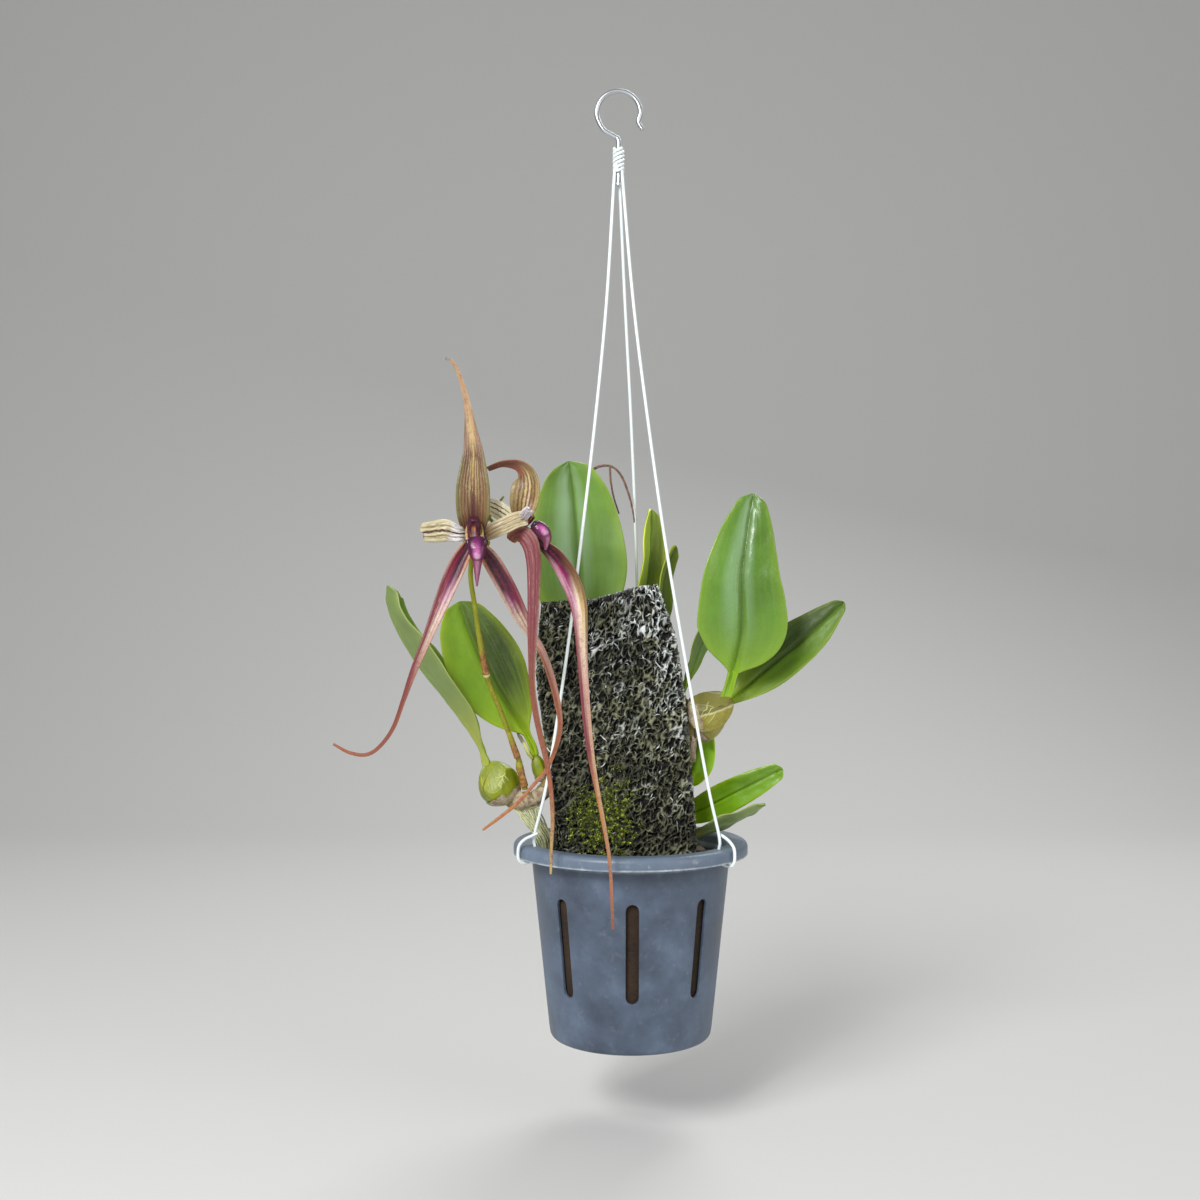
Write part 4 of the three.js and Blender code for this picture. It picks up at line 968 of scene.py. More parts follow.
# Creases: places round and up the bulb that a low fold runs through, its half width and its finish.
bulb_creases = {
    "bulb_left": [
        ([(0.76, 0.36), (0.81, 0.3), (0.87, 0.32)], 0.42, 2),
        ([(0.81, 0.3), (0.8, 0.1), (0.83, -0.12)], 0.4, 2),
        ([(0.8, 0.2), (0.76, 0.02), (0.77, -0.2)], 0.36, 2),
        ([(0.83, 0.3), (0.86, 0.08), (0.87, -0.1)], 0.34, 2), ([(0.8, 0.34), (0.79, 0.5)], 0.3, 2),
        ([(0.68, 0.62), (0.63, 0.35), (0.61, 0.0), (0.63, -0.35), (0.68, -0.62), (0.76, -0.8)], 0.5, 3),
    ],
    "bulb_right": [
        ([(0.62, 0.1), (0.7, -0.2), (0.76, -0.6)], 0.35, 2),
        ([(0.7, 0.14), (0.76, -0.1), (0.81, -0.5)], 0.35, 2),
        ([(0.78, 0.2), (0.83, -0.05), (0.87, -0.4)], 0.35, 2),
    ],
}

bulb_green = bulb_finish("bulb_yellow_green", (100, 116, 8), (142, 152, 14), (92, 78, 30), 0)
bulb_brown = bulb_finish(
    "bulb_olive_brown", (134, 128, 40), (176, 166, 74), (112, 92, 36), 1, (112, 108, 52),
)
cup_paper = paper_finish("papery_cup", (202, 190, 160), (140, 120, 96))
crease_pale = Finish("pale_crease", base_color=(196, 200, 126), roughness=0.5)
crease_brown = Finish("brown_crease", base_color=(110, 92, 34), roughness=0.5)

for node, (centre, size, lean) in bulbs.items():
    bulb_mesh = new_bmesh()
    tip = Matrix.Rotation(math.radians(lean[1]), 3, "X") @ Matrix.Rotation(math.radians(lean[0]), 3, "Y")
    seed = Vector(centre) * 0.37
    crease = 0.05 if size[0] > 10 else 0.03

    def bulb_place(u, z, proud=0.0):
        turn = 2 * math.pi * u
        flat = math.sqrt(max(0.0, 1 - z * z)) * (1 - 0.16 * z)
        worn = noise.noise(Vector((math.cos(turn) * 1.6, math.sin(turn) * 1.6, z * 0.7)) + seed)
        furrow = rib_height * math.cos(ribs * turn + 0.5 * worn) - crease * abs(worn) ** 0.6
        grown = 1 + furrow * (1 - z * z)
        shape = Vector((
            math.cos(turn) * flat * (grown * size[0] + proud),
            math.sin(turn) * flat * (grown * size[1] + proud),
            z * (size[2] + proud),
        ))
        return Vector(centre) + faceted(node, tip @ shape)

    def bulb_point(u, z, proud=0.0):
        return from_pot(*bulb_place(u, z, proud))

    skin(
        bulb_mesh, bulb_columns, bulb_rows, lambda u, k: bulb_point(u, -math.cos(math.pi * k / bulb_rows)),
        lay=lambda u, k: (u, k / bulb_rows),
    )

    def cup_corner(u, k):
        coarse, fine = noise.noise(Vector((u * 9, seed.x, 0))), noise.noise(Vector((u * 31, seed.y, 0)))
        z = -0.985 + (0.45 + 0.2 * coarse + 0.12 * fine) * k / cup_rows
        return bulb_point(u, z, 0.35 + 0.05 * k + 0.3 * noise.noise(Vector((u * 7, k * 0.3, seed.z))))

    skin(bulb_mesh, cup_columns, cup_rows, cup_corner, 1)
    for places, half, finish in bulb_creases.get(node, ()):
        rows = []
        for k in range(crease_rows):
            spot = smooth_row(places, k / (crease_rows - 1))
            full = math.sin(math.pi * (k + 0.5) / crease_rows)
            rows.append((*bulb_place(*spot, -0.62 * half), half * (0.3 + 0.7 * full)))
        stem(bulb_mesh, rows, 16, 8, finish)
    aged = node in ("bulb_right", "bulb_right_rear")
    bulb_skin = bulb_brown if aged else bulb_green
    bulb_piece = piece_of(bulb_mesh, node + "_ribbed", bulb_skin, cup_paper, crease_pale, crease_brown)
    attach(bulb_piece, "root")
    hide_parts(node)

# ---------------------------------------------------------------- leaves
# Leathery blades, one to a bulb, on a short grooved stalk. The middle vein is a furrow above and a
# rounded keel below, fine veins run lengthwise, and the edge is a thin pale line.

# For each leaf: its path, its greatest half width, the share of the blade where it is widest, the
# share of the path that is stalk, the stalk's half width at the foot, the two powers that shape its
# tip, its roll and fold in degrees, the colours of its face and back, how rough its face is, and how
# light the face's two halves are painted where they differ, as painted light and shade for the half
# that faces the light and the half turned away.
leaves = {
    "leaf_left_edge": {
        "path": [
            (-92, -13, 49), (-98, -16, 65), (-114, -20, 88), (-137, -26, 119), (-151, -30, 147),
            (-152, -31, 163),
        ],
        "half": 21, "widest": 0.5, "stalk": 0.08, "foot": 3.8, "tip": (2, 0.5), "roll": 92, "fold": 36,
        "face": (104, 142, 36), "back": (116, 136, 74), "roughness": 0.4,
    },
    "leaf_left_front": {
        "path": [(-61, -9, 55), (-66, -10, 68), (-86, -9, 98), (-102, -5, 130), (-110, 0, 153)],
        "half": 25, "widest": 0.52, "stalk": 0.13, "foot": 2.6, "tip": (2, 0.6), "roll": 14, "fold": 14,
        "face": (108, 144, 10), "back": (140, 168, 90), "roughness": 0.64, "halves": (1.02, 0.46),
    },
    "leaf_back_broad": {
        "path": [(-28, 19, 108), (-31, 21, 128), (-34, 24, 180), (-37, 22, 220), (-40, 17, 245)],
        "half": 32, "widest": 0.42, "stalk": 0.12, "foot": 2.8, "tip": (2, 0.52), "roll": 4, "fold": 9,
        "face": (106, 146, 54), "back": (140, 166, 100), "roughness": 0.5, "halves": (0.9, 1.0),
    },
    "leaf_back_edge": {
        "path": [(-2, 19, 109.5), (7, 22, 145), (12.2, 23, 180), (13.4, 21, 214)],
        "half": 15, "widest": 0.6, "stalk": 0.2, "foot": 2.4, "tip": (2, 0.55), "roll": 54, "fold": 20,
        "face": (172, 202, 60), "back": (136, 156, 50), "roughness": 0.42, "halves": (1.1, 0.6),
    },
    "leaf_back_narrow": {
        "path": [(16, 19, 105), (19.5, 19.2, 130), (20.5, 19.7, 155), (22.5, 19.6, 172), (29.6, 19, 190)],
        "half": 10.8, "widest": 0.5, "stalk": 0.16, "foot": 2.2, "tip": (2, 0.8), "roll": 60, "fold": 16,
        "face": (118, 142, 20), "back": (132, 148, 46), "roughness": 0.42, "halves": (1.05, 0.8),
    },
    "leaf_right_broad": {
        "path": [(59, -10, 89), (63, -13, 101), (69.5, -22, 135), (69.3, -25, 170), (77, -20, 221)],
        "half": 29, "widest": 0.3, "stalk": 0.145, "foot": 3.4, "tip": (1.25, 0.62), "roll": 0, "fold": 9,
        "face": (96, 138, 44), "back": (136, 164, 92), "roughness": 0.26, "halves": (1.0, 0.9),
    },
    "leaf_right_rear": {
        "path": [(60, 4, 82), (65.5, 4, 89), (87.5, 6, 108), (113.5, 8, 129), (138.6, 6, 152.4)],
        "half": 16.4, "widest": 0.45, "stalk": 0.07, "foot": 2.8, "tip": (1.9, 0.85), "roll": -24,
        "fold": 14, "face": (90, 124, 16), "back": (136, 162, 92), "roughness": 0.48, "halves": (0.6, 1.02),
    },
    "leaf_right_hidden": {
        "path": [(34, 17, 92), (44, 12, 122), (55, 9, 145), (68, 8, 172)],
        "half": 14, "widest": 0.5, "stalk": 0.12, "foot": 2.4, "tip": (2, 0.8), "roll": 62, "fold": 10,
        "face": (90, 126, 30), "back": (120, 146, 50), "roughness": 0.4,
    },
    "leaf_right_inner": {
        "path": [(33, 19, 30), (38, 18, 38), (43, 17, 54), (45, 17, 80)],
        "half": 13.5, "widest": 0.36, "stalk": 0.06, "foot": 3.2, "tip": (2, 0.7), "roll": -10, "fold": 8,
        "face": (132, 184, 28), "back": (140, 166, 84), "roughness": 0.34,
    },
    "leaf_right_low": {
        "path": [(28, 19, 11), (46, 14, 17), (70, 1, 31), (97, -8, 46)],
        "half": 10.5, "widest": 0.42, "stalk": 0.04, "foot": 3.6, "tip": (2, 0.7), "roll": -6, "fold": 10,
        "face": (110, 156, 14), "back": (140, 168, 84), "roughness": 0.34, "halves": (0.86, 1.0),
    },
    "leaf_right_lowest": {
        "path": [(28, 20, -3), (46, 14, 1), (67, 4, 11), (86, -5, 23)],
        "half": 10, "widest": 0.5, "stalk": 0.08, "foot": 2.6, "tip": (2, 0.8), "roll": -125, "fold": 14,
        "face": (96, 140, 48), "back": (140, 160, 98), "roughness": 0.5,
    },
}
leaf_steps, path_steps = 84, 200
leaf_stations = [0, 0.4, 1, 0.17, 0.25, 0.36, 0.48, 0.6, 0.72, 0.83, 0.92, 0.97, 1]
leaf_across = [-1, -0.992, -0.965, -0.88, -0.74, -0.6, -0.46, -0.34, -0.24, -0.17, -0.11, -0.065, -0.03, 0]
leaf_across += [-s for s in reversed(leaf_across[:-1])]


def walk(path, share):
    """The point a share of the way along the smooth line through path, by length."""
    points = [Vector(smooth_row(path, k / path_steps)) for k in range(path_steps + 1)]
    lengths = [0.0]
    for a, b in zip(points, points[1:]):
        lengths.append(lengths[-1] + (b - a).length)
    target = share * lengths[-1]
    k = next((k for k in range(1, path_steps + 1) if lengths[k] >= target), path_steps)
    f = (target - lengths[k - 1]) / (lengths[k] - lengths[k - 1])
    return smooth_row(path, (k - 1 + f) / path_steps)


def fullness(share, widest, bend, blunt):
    """A leaf's half width as a share of its widest, from its foot at 0 to its tip at 1."""
    if share < widest:
        return 1 - ((widest - share) / widest) ** 2
    return (1 - ((share - widest) / (1 - widest)) ** bend) ** blunt


def blade(
    bm, rows, steps, across_at, thick, fold=0, cup=0, ripple=0, wave_count=None, keel=None, buckle=0,
    fray=0, finish=0, under=1,
):
    """A leaf, sepal or petal: rows of x, y, z, half width and roll. At roll 0 it faces the camera's way.

    fold tilts each half, cup lifts the edges and ripple waves them. thick may depend on the share of
    the way along, and keel(share, distance from the middle vein) stands the under side proud.
    """
    tilt = math.radians(fold)
    rings = capped(steps, 0.2)
    count = len(across_at) - 1
    waves = wave_count or len(rows) - 1
    seed = Vector(rows[0][:3]) * 0.71

    def place(u, ring):
        share, full = rings[ring]
        x, y, z, half, roll = smooth_row(rows, share)
        ends = (min(share + 0.01, 1), max(share - 0.01, 0))
        beyond, before = (Vector(smooth_row(rows, at)[:3]) for at in ends)
        ahead = (beyond - before).normalized()
        front = Vector((0, -1, 0))
        front = (front - ahead * front.dot(ahead)).normalized()
        side = ahead.cross(front)
        roll = math.radians(roll)
        face = front * math.cos(roll) + side * math.sin(roll)
        across = ahead.cross(face)
        half = max(half, 0.5)
        j = round(u * 2 * count)
        s = across_at[j if j <= count else 2 * count - j]
        top = 1 if j <= count else -1
        wave = ripple * math.sin(share * waves * 1.9 + (1.3 if s > 0 else 0)) * s * s * min(1, half / 12)
        wave += buckle * s * s * noise.noise(Vector((share * 5, s * 1.2, 0)) + seed)
        wave += 0.3 * buckle * noise.noise(Vector((share * 15, s * 4, 9)) + seed)
        lift = half * (abs(s) * math.sin(tilt) + cup * s * s) + wave
        slope = (math.copysign(math.sin(tilt), s) * min(1, abs(s) * 12) + 2 * cup * s) / math.cos(tilt)
        normal = (face - across * slope).normalized()
        body = (thick(share) if callable(thick) else thick) / 2
        edge = (1 - abs(s)) * half
        proud = body * min(1, math.sqrt(max(0.0, edge) / body)) if abs(s) < 1 else 0
        if keel and edge > 0:
            proud += keel(share, abs(s) * half, top)
        where = Vector((x, y, z)) + across * s * half * math.cos(tilt) * (0.4 + 0.6 * full) + face * lift
        if fray and share > 0.85:
            where += ahead * fray * noise.noise(Vector((s * 2.6, 0, 0)) + seed) * (share - 0.85) / 0.15
        return from_pot(*(where + normal * top * proud * full))

    def lay(u, ring):
        j = round(u * 2 * count)
        return (across_at[j if j <= count else 2 * count - j], rings[ring][0])

    skin(bm, 2 * count, len(rings) - 1, place, finish, under, lay)


def tone(rgb, share):
    return tuple(c * share for c in rgb)


def leaf_finish(name, rgb, roughness, halves=(1, 1), back=False):
    """A leaf's face or back, each half in its own painted shade. Its UV is -1 to 1 across and 0 to 1 along.
    """
    leaf = Finish(name, roughness=roughness)
    across = leaf.axis(leaf.place(by="UV"), "X")
    down = leaf.axis(leaf.place(by="UV"), "Y")
    off_middle = leaf.far(across)
    cloud = leaf.cloud(32, 4, 0.55)
    speck = leaf.cloud(900, 3, 0.6)
    veins = leaf.cloud(1.0, 3, 0.5, at=(30, 0.9, 1), by="UV")
    streaks = leaf.cloud(1.0, 4, 0.6, at=(7, 1.6, 1), by="UV")
    r, g, b = rgb
    colour = leaf.ramp(cloud, (0.34, tone(rgb, 0.9)), (0.55, tone(rgb, 1.0)), (0.75, tone(rgb, 1.08)))
    # Painted light and shade: one half of the face is multiplied lighter and the other darker, as if one
    # faces the light.
    shade = leaf.mix(leaf.step(across, -0.12, 0.12), *(tone((255, 255, 255), half) for half in halves))
    colour = leaf.mix(1.0, colour, shade, "MULTIPLY")
    colour = leaf.mix(leaf.step(streaks, 0.5, 0.72, 0, 0.35), colour, (r * 1.12, g * 1.12, b * 1.35))
    colour = leaf.mix(leaf.step(veins, 0.45, 0.7, 0, 0.3), colour, tone(rgb, 0.86))
    colour = leaf.mix(leaf.step(speck, 0.5, 0.72, 0, 0.12), colour, tone(rgb, 1.14))
    yellow = (r * 1.2, g * 1.15, b * 1.1) if back else (r * 1.45, g * 1.22, b * 0.9)
    colour = leaf.mix(leaf.step(down, 0.14, 0.52, 0.85, 0), colour, (r * 1.42, g * 1.26, b * 0.85))
    colour = leaf.mix(leaf.step(down, 0.6, 1.0, 0, 0.5), colour, tone(rgb, 0.84))
    colour = leaf.mix(leaf.step(off_middle, 0.66, 1.0, 0, 0.3), colour, yellow)
    if not back and "broad" in name:
        # Painted sheen on the broad leaves: a pale bluish band left of the middle vein and a narrower one
        # right of it, painted where the lamps' reflection lies.
        wide = leaf.cloud(2, 3, 0.5, at=(1.5, 2.2, 1), by="UV")
        swayed = leaf.plus(across, leaf.scaled(wide, 0.3, -0.15))
        painted_sheen = leaf.times(leaf.step(swayed, -0.6, -0.24), leaf.step(swayed, -0.24, -0.02, 1, 0))
        beside = leaf.times(leaf.step(swayed, 0.04, 0.12), leaf.step(swayed, 0.12, 0.4, 0.7, 0))
        painted_sheen = leaf.plus(painted_sheen, beside)
        painted_sheen = leaf.times(painted_sheen, leaf.step(down, 0.25, 0.6, 0, 0.46))
        painted_sheen = leaf.times(painted_sheen, leaf.step(down, 0.8, 1.0, 1, 0.3))
        colour = leaf.mix(painted_sheen, colour, (r * 1.3 + 16, g * 1.1 + 20, b * 1.6 + 66))
    # Painted shade in the face's middle furrow; on the back the middle vein is painted lighter.
    groove = leaf.step(off_middle, 0.0, 0.06, 0.7, 0.0)
    colour = leaf.mix(groove, colour, tone(rgb, 1.2 if back else 0.6))
    leaf.colour(leaf.mix(leaf.step(off_middle, 0.965, 0.985, 0, 0.35), colour, (r * 1.5, g * 1.3, b * 1.5)))
    gloss = leaf.cloud(5, 5, 0.65, at=(2, 6, 1), by="UV")
    leaf.rough(leaf.step(gloss, 0.34, 0.68, roughness - 0.03, roughness + 0.14))
    fine = leaf.bump(leaf.cloud(1.2, 2, 0.5, at=(16, 3, 1), by="UV"), 0.0004, 0.12)
    leaf.bump(leaf.cloud(150, 3, 0.5, at=(1, 1, 0.7)), 0.0014, 0.1 / roughness, under=fine)
    return leaf


for node, form in leaves.items():
    half, stalk = form["half"], form["stalk"]
    rows = []
    for k, station in enumerate(leaf_stations):
        share = station * stalk if k < 3 else station
        on_blade = max(0, (share - stalk) / (1 - stalk))
        full = fullness(on_blade, form["widest"], *form["tip"]) * rise(on_blade, -0.03, 0.09)
        wide = 1.2 if share == 1 else form["foot"] + (half - form["foot"]) * full
        rows.append((*walk(form["path"], share), wide, form["roll"]))

    def body(share):
        return 1.1 + 1.9 * max(0, 1 - share / (stalk + 0.08))

    def keel(share, off, top):
        """The furrow between two soft shoulders on the face, and the rounded vein on the back."""
        size = min(1.0, half / 24)
        fade = min(1, max(0, share - 0.03) * 9) * (1 - 0.6 * share) * size
        if top < 0:
            return 1.2 * size * (1 - 0.85 * share) * math.exp(-((off / 1.6) ** 2))
        shoulder = math.exp(-(((off - 0.17 * half) / (0.13 * half)) ** 2))
        return fade * (1.7 * shoulder - 1.3 * math.exp(-((off / (0.07 * half)) ** 2)))

    leaf_mesh = new_bmesh()
    blade(leaf_mesh, rows, leaf_steps, leaf_across, body, form["fold"], 0, 0.9, 12, keel, buckle=1.7)
    leaf_piece = piece_of(
        leaf_mesh, node + "_veined",
        leaf_finish(node + "_face", form["face"], form["roughness"], form.get("halves", (1, 1))),
        leaf_finish(node + "_back", form["back"], 0.5, back=True),
    )
    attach(leaf_piece, "root")
    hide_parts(node)

# ---------------------------------------------------------------- flower stalk
# A wiry yellow-green stalk with brown freckles, wrapped at its joints in papery sleeves with a pale
# rim, that arches up beside the slab and hands each flower to a short pedicel.

stalk_rows = [
    (-67, -17, 34, 1.9), (-70, -19, 50, 1.7), (-74, -22, 62, 1.6), (-82, -29, 85, 1.6),
    (-90, -38, 108, 1.7), (-94, -46, 133, 1.6), (-96, -53, 151, 1.5), (-98, -58, 169, 1.5),
    (-96, -60, 184, 1.4), (-91, -59, 197, 1.3), (-84, -57, 209, 1.1), (-78, -55, 217, 0.6),
]
stalk_sleeves = [
    [(-67.4, -17.4, 36, 2.6), (-68.9, -18.4, 43, 2.2), (-70.2, -19.2, 48, 2.5), (-71.2, -19.9, 52, 1.7)],
    [(-71.6, -20.2, 54.5, 2.2), (-74, -22, 62, 2), (-77, -24.8, 71, 1.66)],
    [(-90, -38, 108, 2.3), (-91.6, -41, 117, 2), (-94, -46, 133, 1.66)],
]
sleeve_rims = [[(-89.5, -37.2, 106.6, 1.9), (-90.2, -38.2, 108.6, 2.3)]]

stalk_skin = Finish("stalk_skin", roughness=0.45)
freckles = stalk_skin.step(stalk_skin.cloud(620, 3, 0.6), 0.52, 0.62)
stalk_low = stalk_skin.step(stalk_skin.axis(stalk_skin.place(), "Z"), -0.34, -0.42)
stalk_cloud = stalk_skin.cloud(60, 3)
stalk_colour = stalk_skin.ramp(stalk_cloud, (0.35, (130, 138, 14)), (0.65, (166, 168, 30)))
stalk_colour = stalk_skin.mix(stalk_skin.times(stalk_low, 0.5), stalk_colour, (104, 88, 20))
stalk_spots = stalk_skin.times(freckles, stalk_skin.scaled(stalk_low, 0.5, 0.12))
stalk_skin.colour(stalk_skin.mix(stalk_spots, stalk_colour, (112, 60, 32)))
stalk_skin.bump(freckles, 0.0002, 0.5)
sleeve_paper = Finish("sleeve_paper", roughness=0.55)
up_sleeve = sleeve_paper.axis(sleeve_paper.place(by="UV"), "Y")
sleeve_marks = sleeve_paper.cloud(520, 5, 0.65)
sleeve_edge = sleeve_paper.plus(up_sleeve, sleeve_paper.scaled(sleeve_marks, 0.7, -0.35))
sleeve_tint = sleeve_paper.ramp(
    sleeve_marks, (0.34, (112, 70, 32)), (0.5, (146, 98, 46)), (0.68, (178, 142, 80))
)
sleeve_paper.colour(sleeve_paper.mix(sleeve_paper.step(sleeve_edge, 0.5, 0.85), sleeve_tint, (152, 146, 34)))
sleeve_paper.bump(sleeve_marks, 0.0005, 0.5)
sleeve_rim = Finish("sleeve_rim", base_color=(216, 206, 146), roughness=0.6)


def flared(u, share, middle):
    """A sleeve hugs the stalk at its foot and stands off in three folds at its rim."""
    return 1 + 0.08 * math.cos(6.28 * (u * 3 + share)) * share


stalk_mesh = new_bmesh()
stem(stalk_mesh, stalk_rows, 110, 12, 0, lambda u, share, middle: 1 + 0.06 * noise.noise(middle * 0.4))
for rows in stalk_sleeves:
    stem(stalk_mesh, rows, 24, 16, 1, flared)
for rows in sleeve_rims:
    stem(stalk_mesh, rows, 6, 16, 2)
stalk_piece = piece_of(stalk_mesh, "flower_stalk_freckled", stalk_skin, sleeve_paper, sleeve_rim)
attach(stalk_piece, "root")
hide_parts("flower_stalk")

# ---------------------------------------------------------------- columns, pedicels and lips
# At the heart of each flower: a short pedicel, the dark column whose hood opens over a pale hollow
# with an orange anther cap, and the fleshy purple lip, with two side lobes and a pointed pale tongue.

hearts = {
    "flower1": {
        "pedicel": [(-94, -61, 180, 1.1), (-87, -63, 188, 1.2), (-90, -67, 191, 1.4), (-94, -71, 192, 1.7)],
        "column": [
            (-94.5, -72, 190, 3.2), (-94.5, -76, 195, 3.9), (-94.3, -79, 199.2, 4), (-94, -81, 202.6, 2.8)
        ],
        "foot": [(-94.5, -73, 191, 2.4), (-93.5, -77, 188, 2.2), (-93, -80, 187, 1.8)],
        "lip": [
            (-92.4, -82.6, 191, 4.4, 1.4), (-92.2, -84, 188.2, 5.7, 2.4), (-92, -85.2, 184, 5.1, 3.2),
            (-91.8, -85.3, 180.4, 4.5, 3), (-91.8, -84.6, 177.6, 3.1, 1.9), (-91.8, -84.2, 175.4, 2.6, 1.4),
            (-92, -83.4, 169, 1.6, 1), (-92.2, -82.5, 162, 0.5, 0.5),
        ],
        "lobes": [
            [(-96, -84, 184, 0.8), (-97.2, -84, 187, 1.6), (-97.4, -83.4, 189.4, 1.4)],
            [(-88.4, -84, 184, 0.8), (-87.2, -84, 187, 1.6), (-86.9, -83.4, 189.4, 1.4)],
        ],
        "swells": [
            [
                (-98.4, -73, 199, 0.5), (-99, -74.5, 195, 0.8), (-98.4, -76.5, 190, 0.9),
                (-97.6, -78, 186, 0.6),
            ],
            [
                (-90.4, -73, 199, 0.5), (-89.6, -74.5, 195, 0.8), (-89.6, -76.5, 190.5, 0.9),
                (-90, -78, 187, 0.6),
            ],
        ],
    },
    "flower2": {
        "pedicel": [
            (-87, -57.5, 204, 1.1), (-81, -58, 198, 1.2), (-75, -60, 195.4, 1.4), (-70.5, -62, 196, 1.7)
        ],
        "column": [
            (-69, -62.5, 197, 2.4), (-65.5, -64.5, 200, 2.8), (-62, -66, 203, 2.7), (-59.5, -67, 204.5, 1.6)
        ],
        "foot": [(-67, -63, 198, 2.2), (-63, -64, 196, 2), (-60, -65, 195, 1.6)],
        "lip": [
            (-60, -67, 199.5, 2.2, 2.2), (-57.5, -67.5, 198, 4.2, 4), (-54, -67.5, 195, 4.6, 4.2),
            (-51.8, -67, 191.5, 3.4, 3), (-51.6, -66.5, 187.5, 1.9, 1.6), (-52.4, -66, 184, 0.7, 0.6),
        ],
        "lobes": [
            [(-60.4, -69, 197.4, 1.3), (-58.4, -70, 199.4, 1.7), (-56.8, -69.6, 200.4, 1)],
            [(-60.4, -65, 197, 1.2), (-58.8, -64.6, 199, 1.4), (-57.4, -64.8, 200, 0.9)],
        ],
        "swells": [],
    },
}

column_skin = Finish("column_skin", roughness=0.35)
column_flat = column_skin.place(by="UV")
column_side = column_skin.axis(column_flat, "X")
column_up = column_skin.axis(column_flat, "Y")
from_front = column_skin.far(column_side, 0.75)
hood_colour = column_skin.ramp(
    column_skin.cloud(500, 3), (0.35, (46, 6, 28)), (0.7, (88, 18, 52)),
)
rim_colour = column_skin.ramp(column_up, (0.25, (150, 88, 70)), (0.45, (84, 18, 46)), (0.7, (54, 8, 32)))
hollow_colour = column_skin.ramp(
    column_up, (0.14, (110, 50, 88)), (0.26, (164, 136, 138)), (0.44, (170, 136, 124)),
    (0.51, (196, 128, 60)), (0.58, (176, 86, 40)), (0.66, (76, 10, 36)),
)
hood_colour = column_skin.mix(column_skin.step(from_front, 0.1, 0.15, 0.9, 0), hood_colour, rim_colour)
at_front = column_skin.step(from_front, 0.05, 0.09, 1, 0)
column_skin.colour(column_skin.mix(at_front, hood_colour, hollow_colour))
anther_wax = Finish("anther_wax", base_color=(196, 112, 34), roughness=0.45)
swell_skin = Finish("cream_swell", roughness=0.5)
swell_cloud = swell_skin.cloud(700, 5, 0.65)
swell_skin.colour(swell_skin.ramp(swell_cloud, (0.38, (150, 104, 62)), (0.62, (196, 164, 112))))

lip_skin = Finish("lip_skin", roughness=0.28)
lip_flat = lip_skin.place(by="UV")
lip_middle = lip_skin.far(lip_skin.axis(lip_flat, "X"), 0.25)
down_lip = lip_skin.axis(lip_flat, "Y")
lip_cloud = lip_skin.cloud(420, 4, 0.6)
lip_sides = lip_skin.ramp(
    down_lip, (0.1, (56, 8, 42)), (0.46, (90, 12, 62)), (0.58, (112, 44, 76)), (1.0, (120, 56, 84)),
)
# Painted highlight: down the middle of the lip's front a pale pink band lies a third of the way down, where
# its bulge catches the light.
lip_front = lip_skin.ramp(
    down_lip, (0.06, (86, 32, 76)), (0.2, (124, 34, 98)), (0.34, (196, 104, 168)),
    (0.47, (232, 178, 214)), (0.54, (110, 28, 78)), (0.64, (168, 116, 138)), (1.0, (140, 84, 106)),
)
lip_skin.colour(lip_skin.mix(lip_skin.times(
    lip_skin.step(lip_middle, 0.0, 0.12, 1, 0), lip_skin.step(lip_cloud, 0.3, 0.6, 0.5, 1),
), lip_sides, lip_front))
lip_skin.bump(lip_cloud, 0.0004, 0.5)
lobe_skin = Finish("lobe_skin", base_color=(54, 10, 42), roughness=0.34)

anther_cap = [((0, 0, 0), 0.9), ((0, -0.6, 0.5), 1.1), ((0, -1.1, 1), 0.7)]

for flower, heart in hearts.items():
    column_mesh = new_bmesh()

    def hood(u, share, middle):
        hollow = math.exp(-(((u - 0.75) / 0.09) ** 2)) * rise(share, 0.1, 0.3) * (1 - rise(share, 0.8, 0.92))
        return 1 - 0.6 * hollow

    stem(column_mesh, heart["column"], 28, 36, 0, hood)
    stem(column_mesh, heart["foot"], 12, 20, 0)
    low, high = Vector(heart["column"][1][:3]), Vector(heart["column"][2][:3])
    cap = low.lerp(high, 0.4) + Vector((0, -0.6, 0.2))
    cap_rows = [(*(cap + Vector(out)), radius) for out, radius in anther_cap]
    stem(column_mesh, cap_rows, 8, 14, 1)
    for rows in heart["swells"]:
        stem(column_mesh, rows, 16, 16, 2)
    column_piece = piece_of(column_mesh, flower + "_column_hooded", column_skin, anther_wax, swell_skin)
    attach(column_piece, "root")
    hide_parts(flower + "_column")

    pedicel_mesh = new_bmesh()
    stem(pedicel_mesh, heart["pedicel"], 18, 14, 0)
    pedicel_piece = piece_of(pedicel_mesh, flower + "_pedicel_freckled", stalk_skin)
    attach(pedicel_piece, "root")
    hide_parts(flower + "_pedicel")

    lip_mesh = new_bmesh()

    def furrow(u, share, middle):
        groove = 0.12 * math.exp(-(((u - 0.25) * 14) ** 2)) * min(1, share * 3) * (share < 0.4)
        return 1 - groove + 0.03 * noise.noise(middle * 0.8)

    stem(lip_mesh, heart["lip"], 44, 28, 0, furrow)
    for lobe in heart["lobes"]:
        stem(lip_mesh, lobe, 10, 14, 1)
    lip_piece = piece_of(lip_mesh, flower + "_lip_furrowed", lip_skin, lobe_skin)
    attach(lip_piece, "root")
    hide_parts(flower + "_lip")

# ---------------------------------------------------------------- sepals
# Three fleshy sepals to a flower, boat-shaped at the foot and drawn out into long twisted tails. Their
# colours run in lanes along them, cream and gold in the middle, with maroon stripes and freckles.

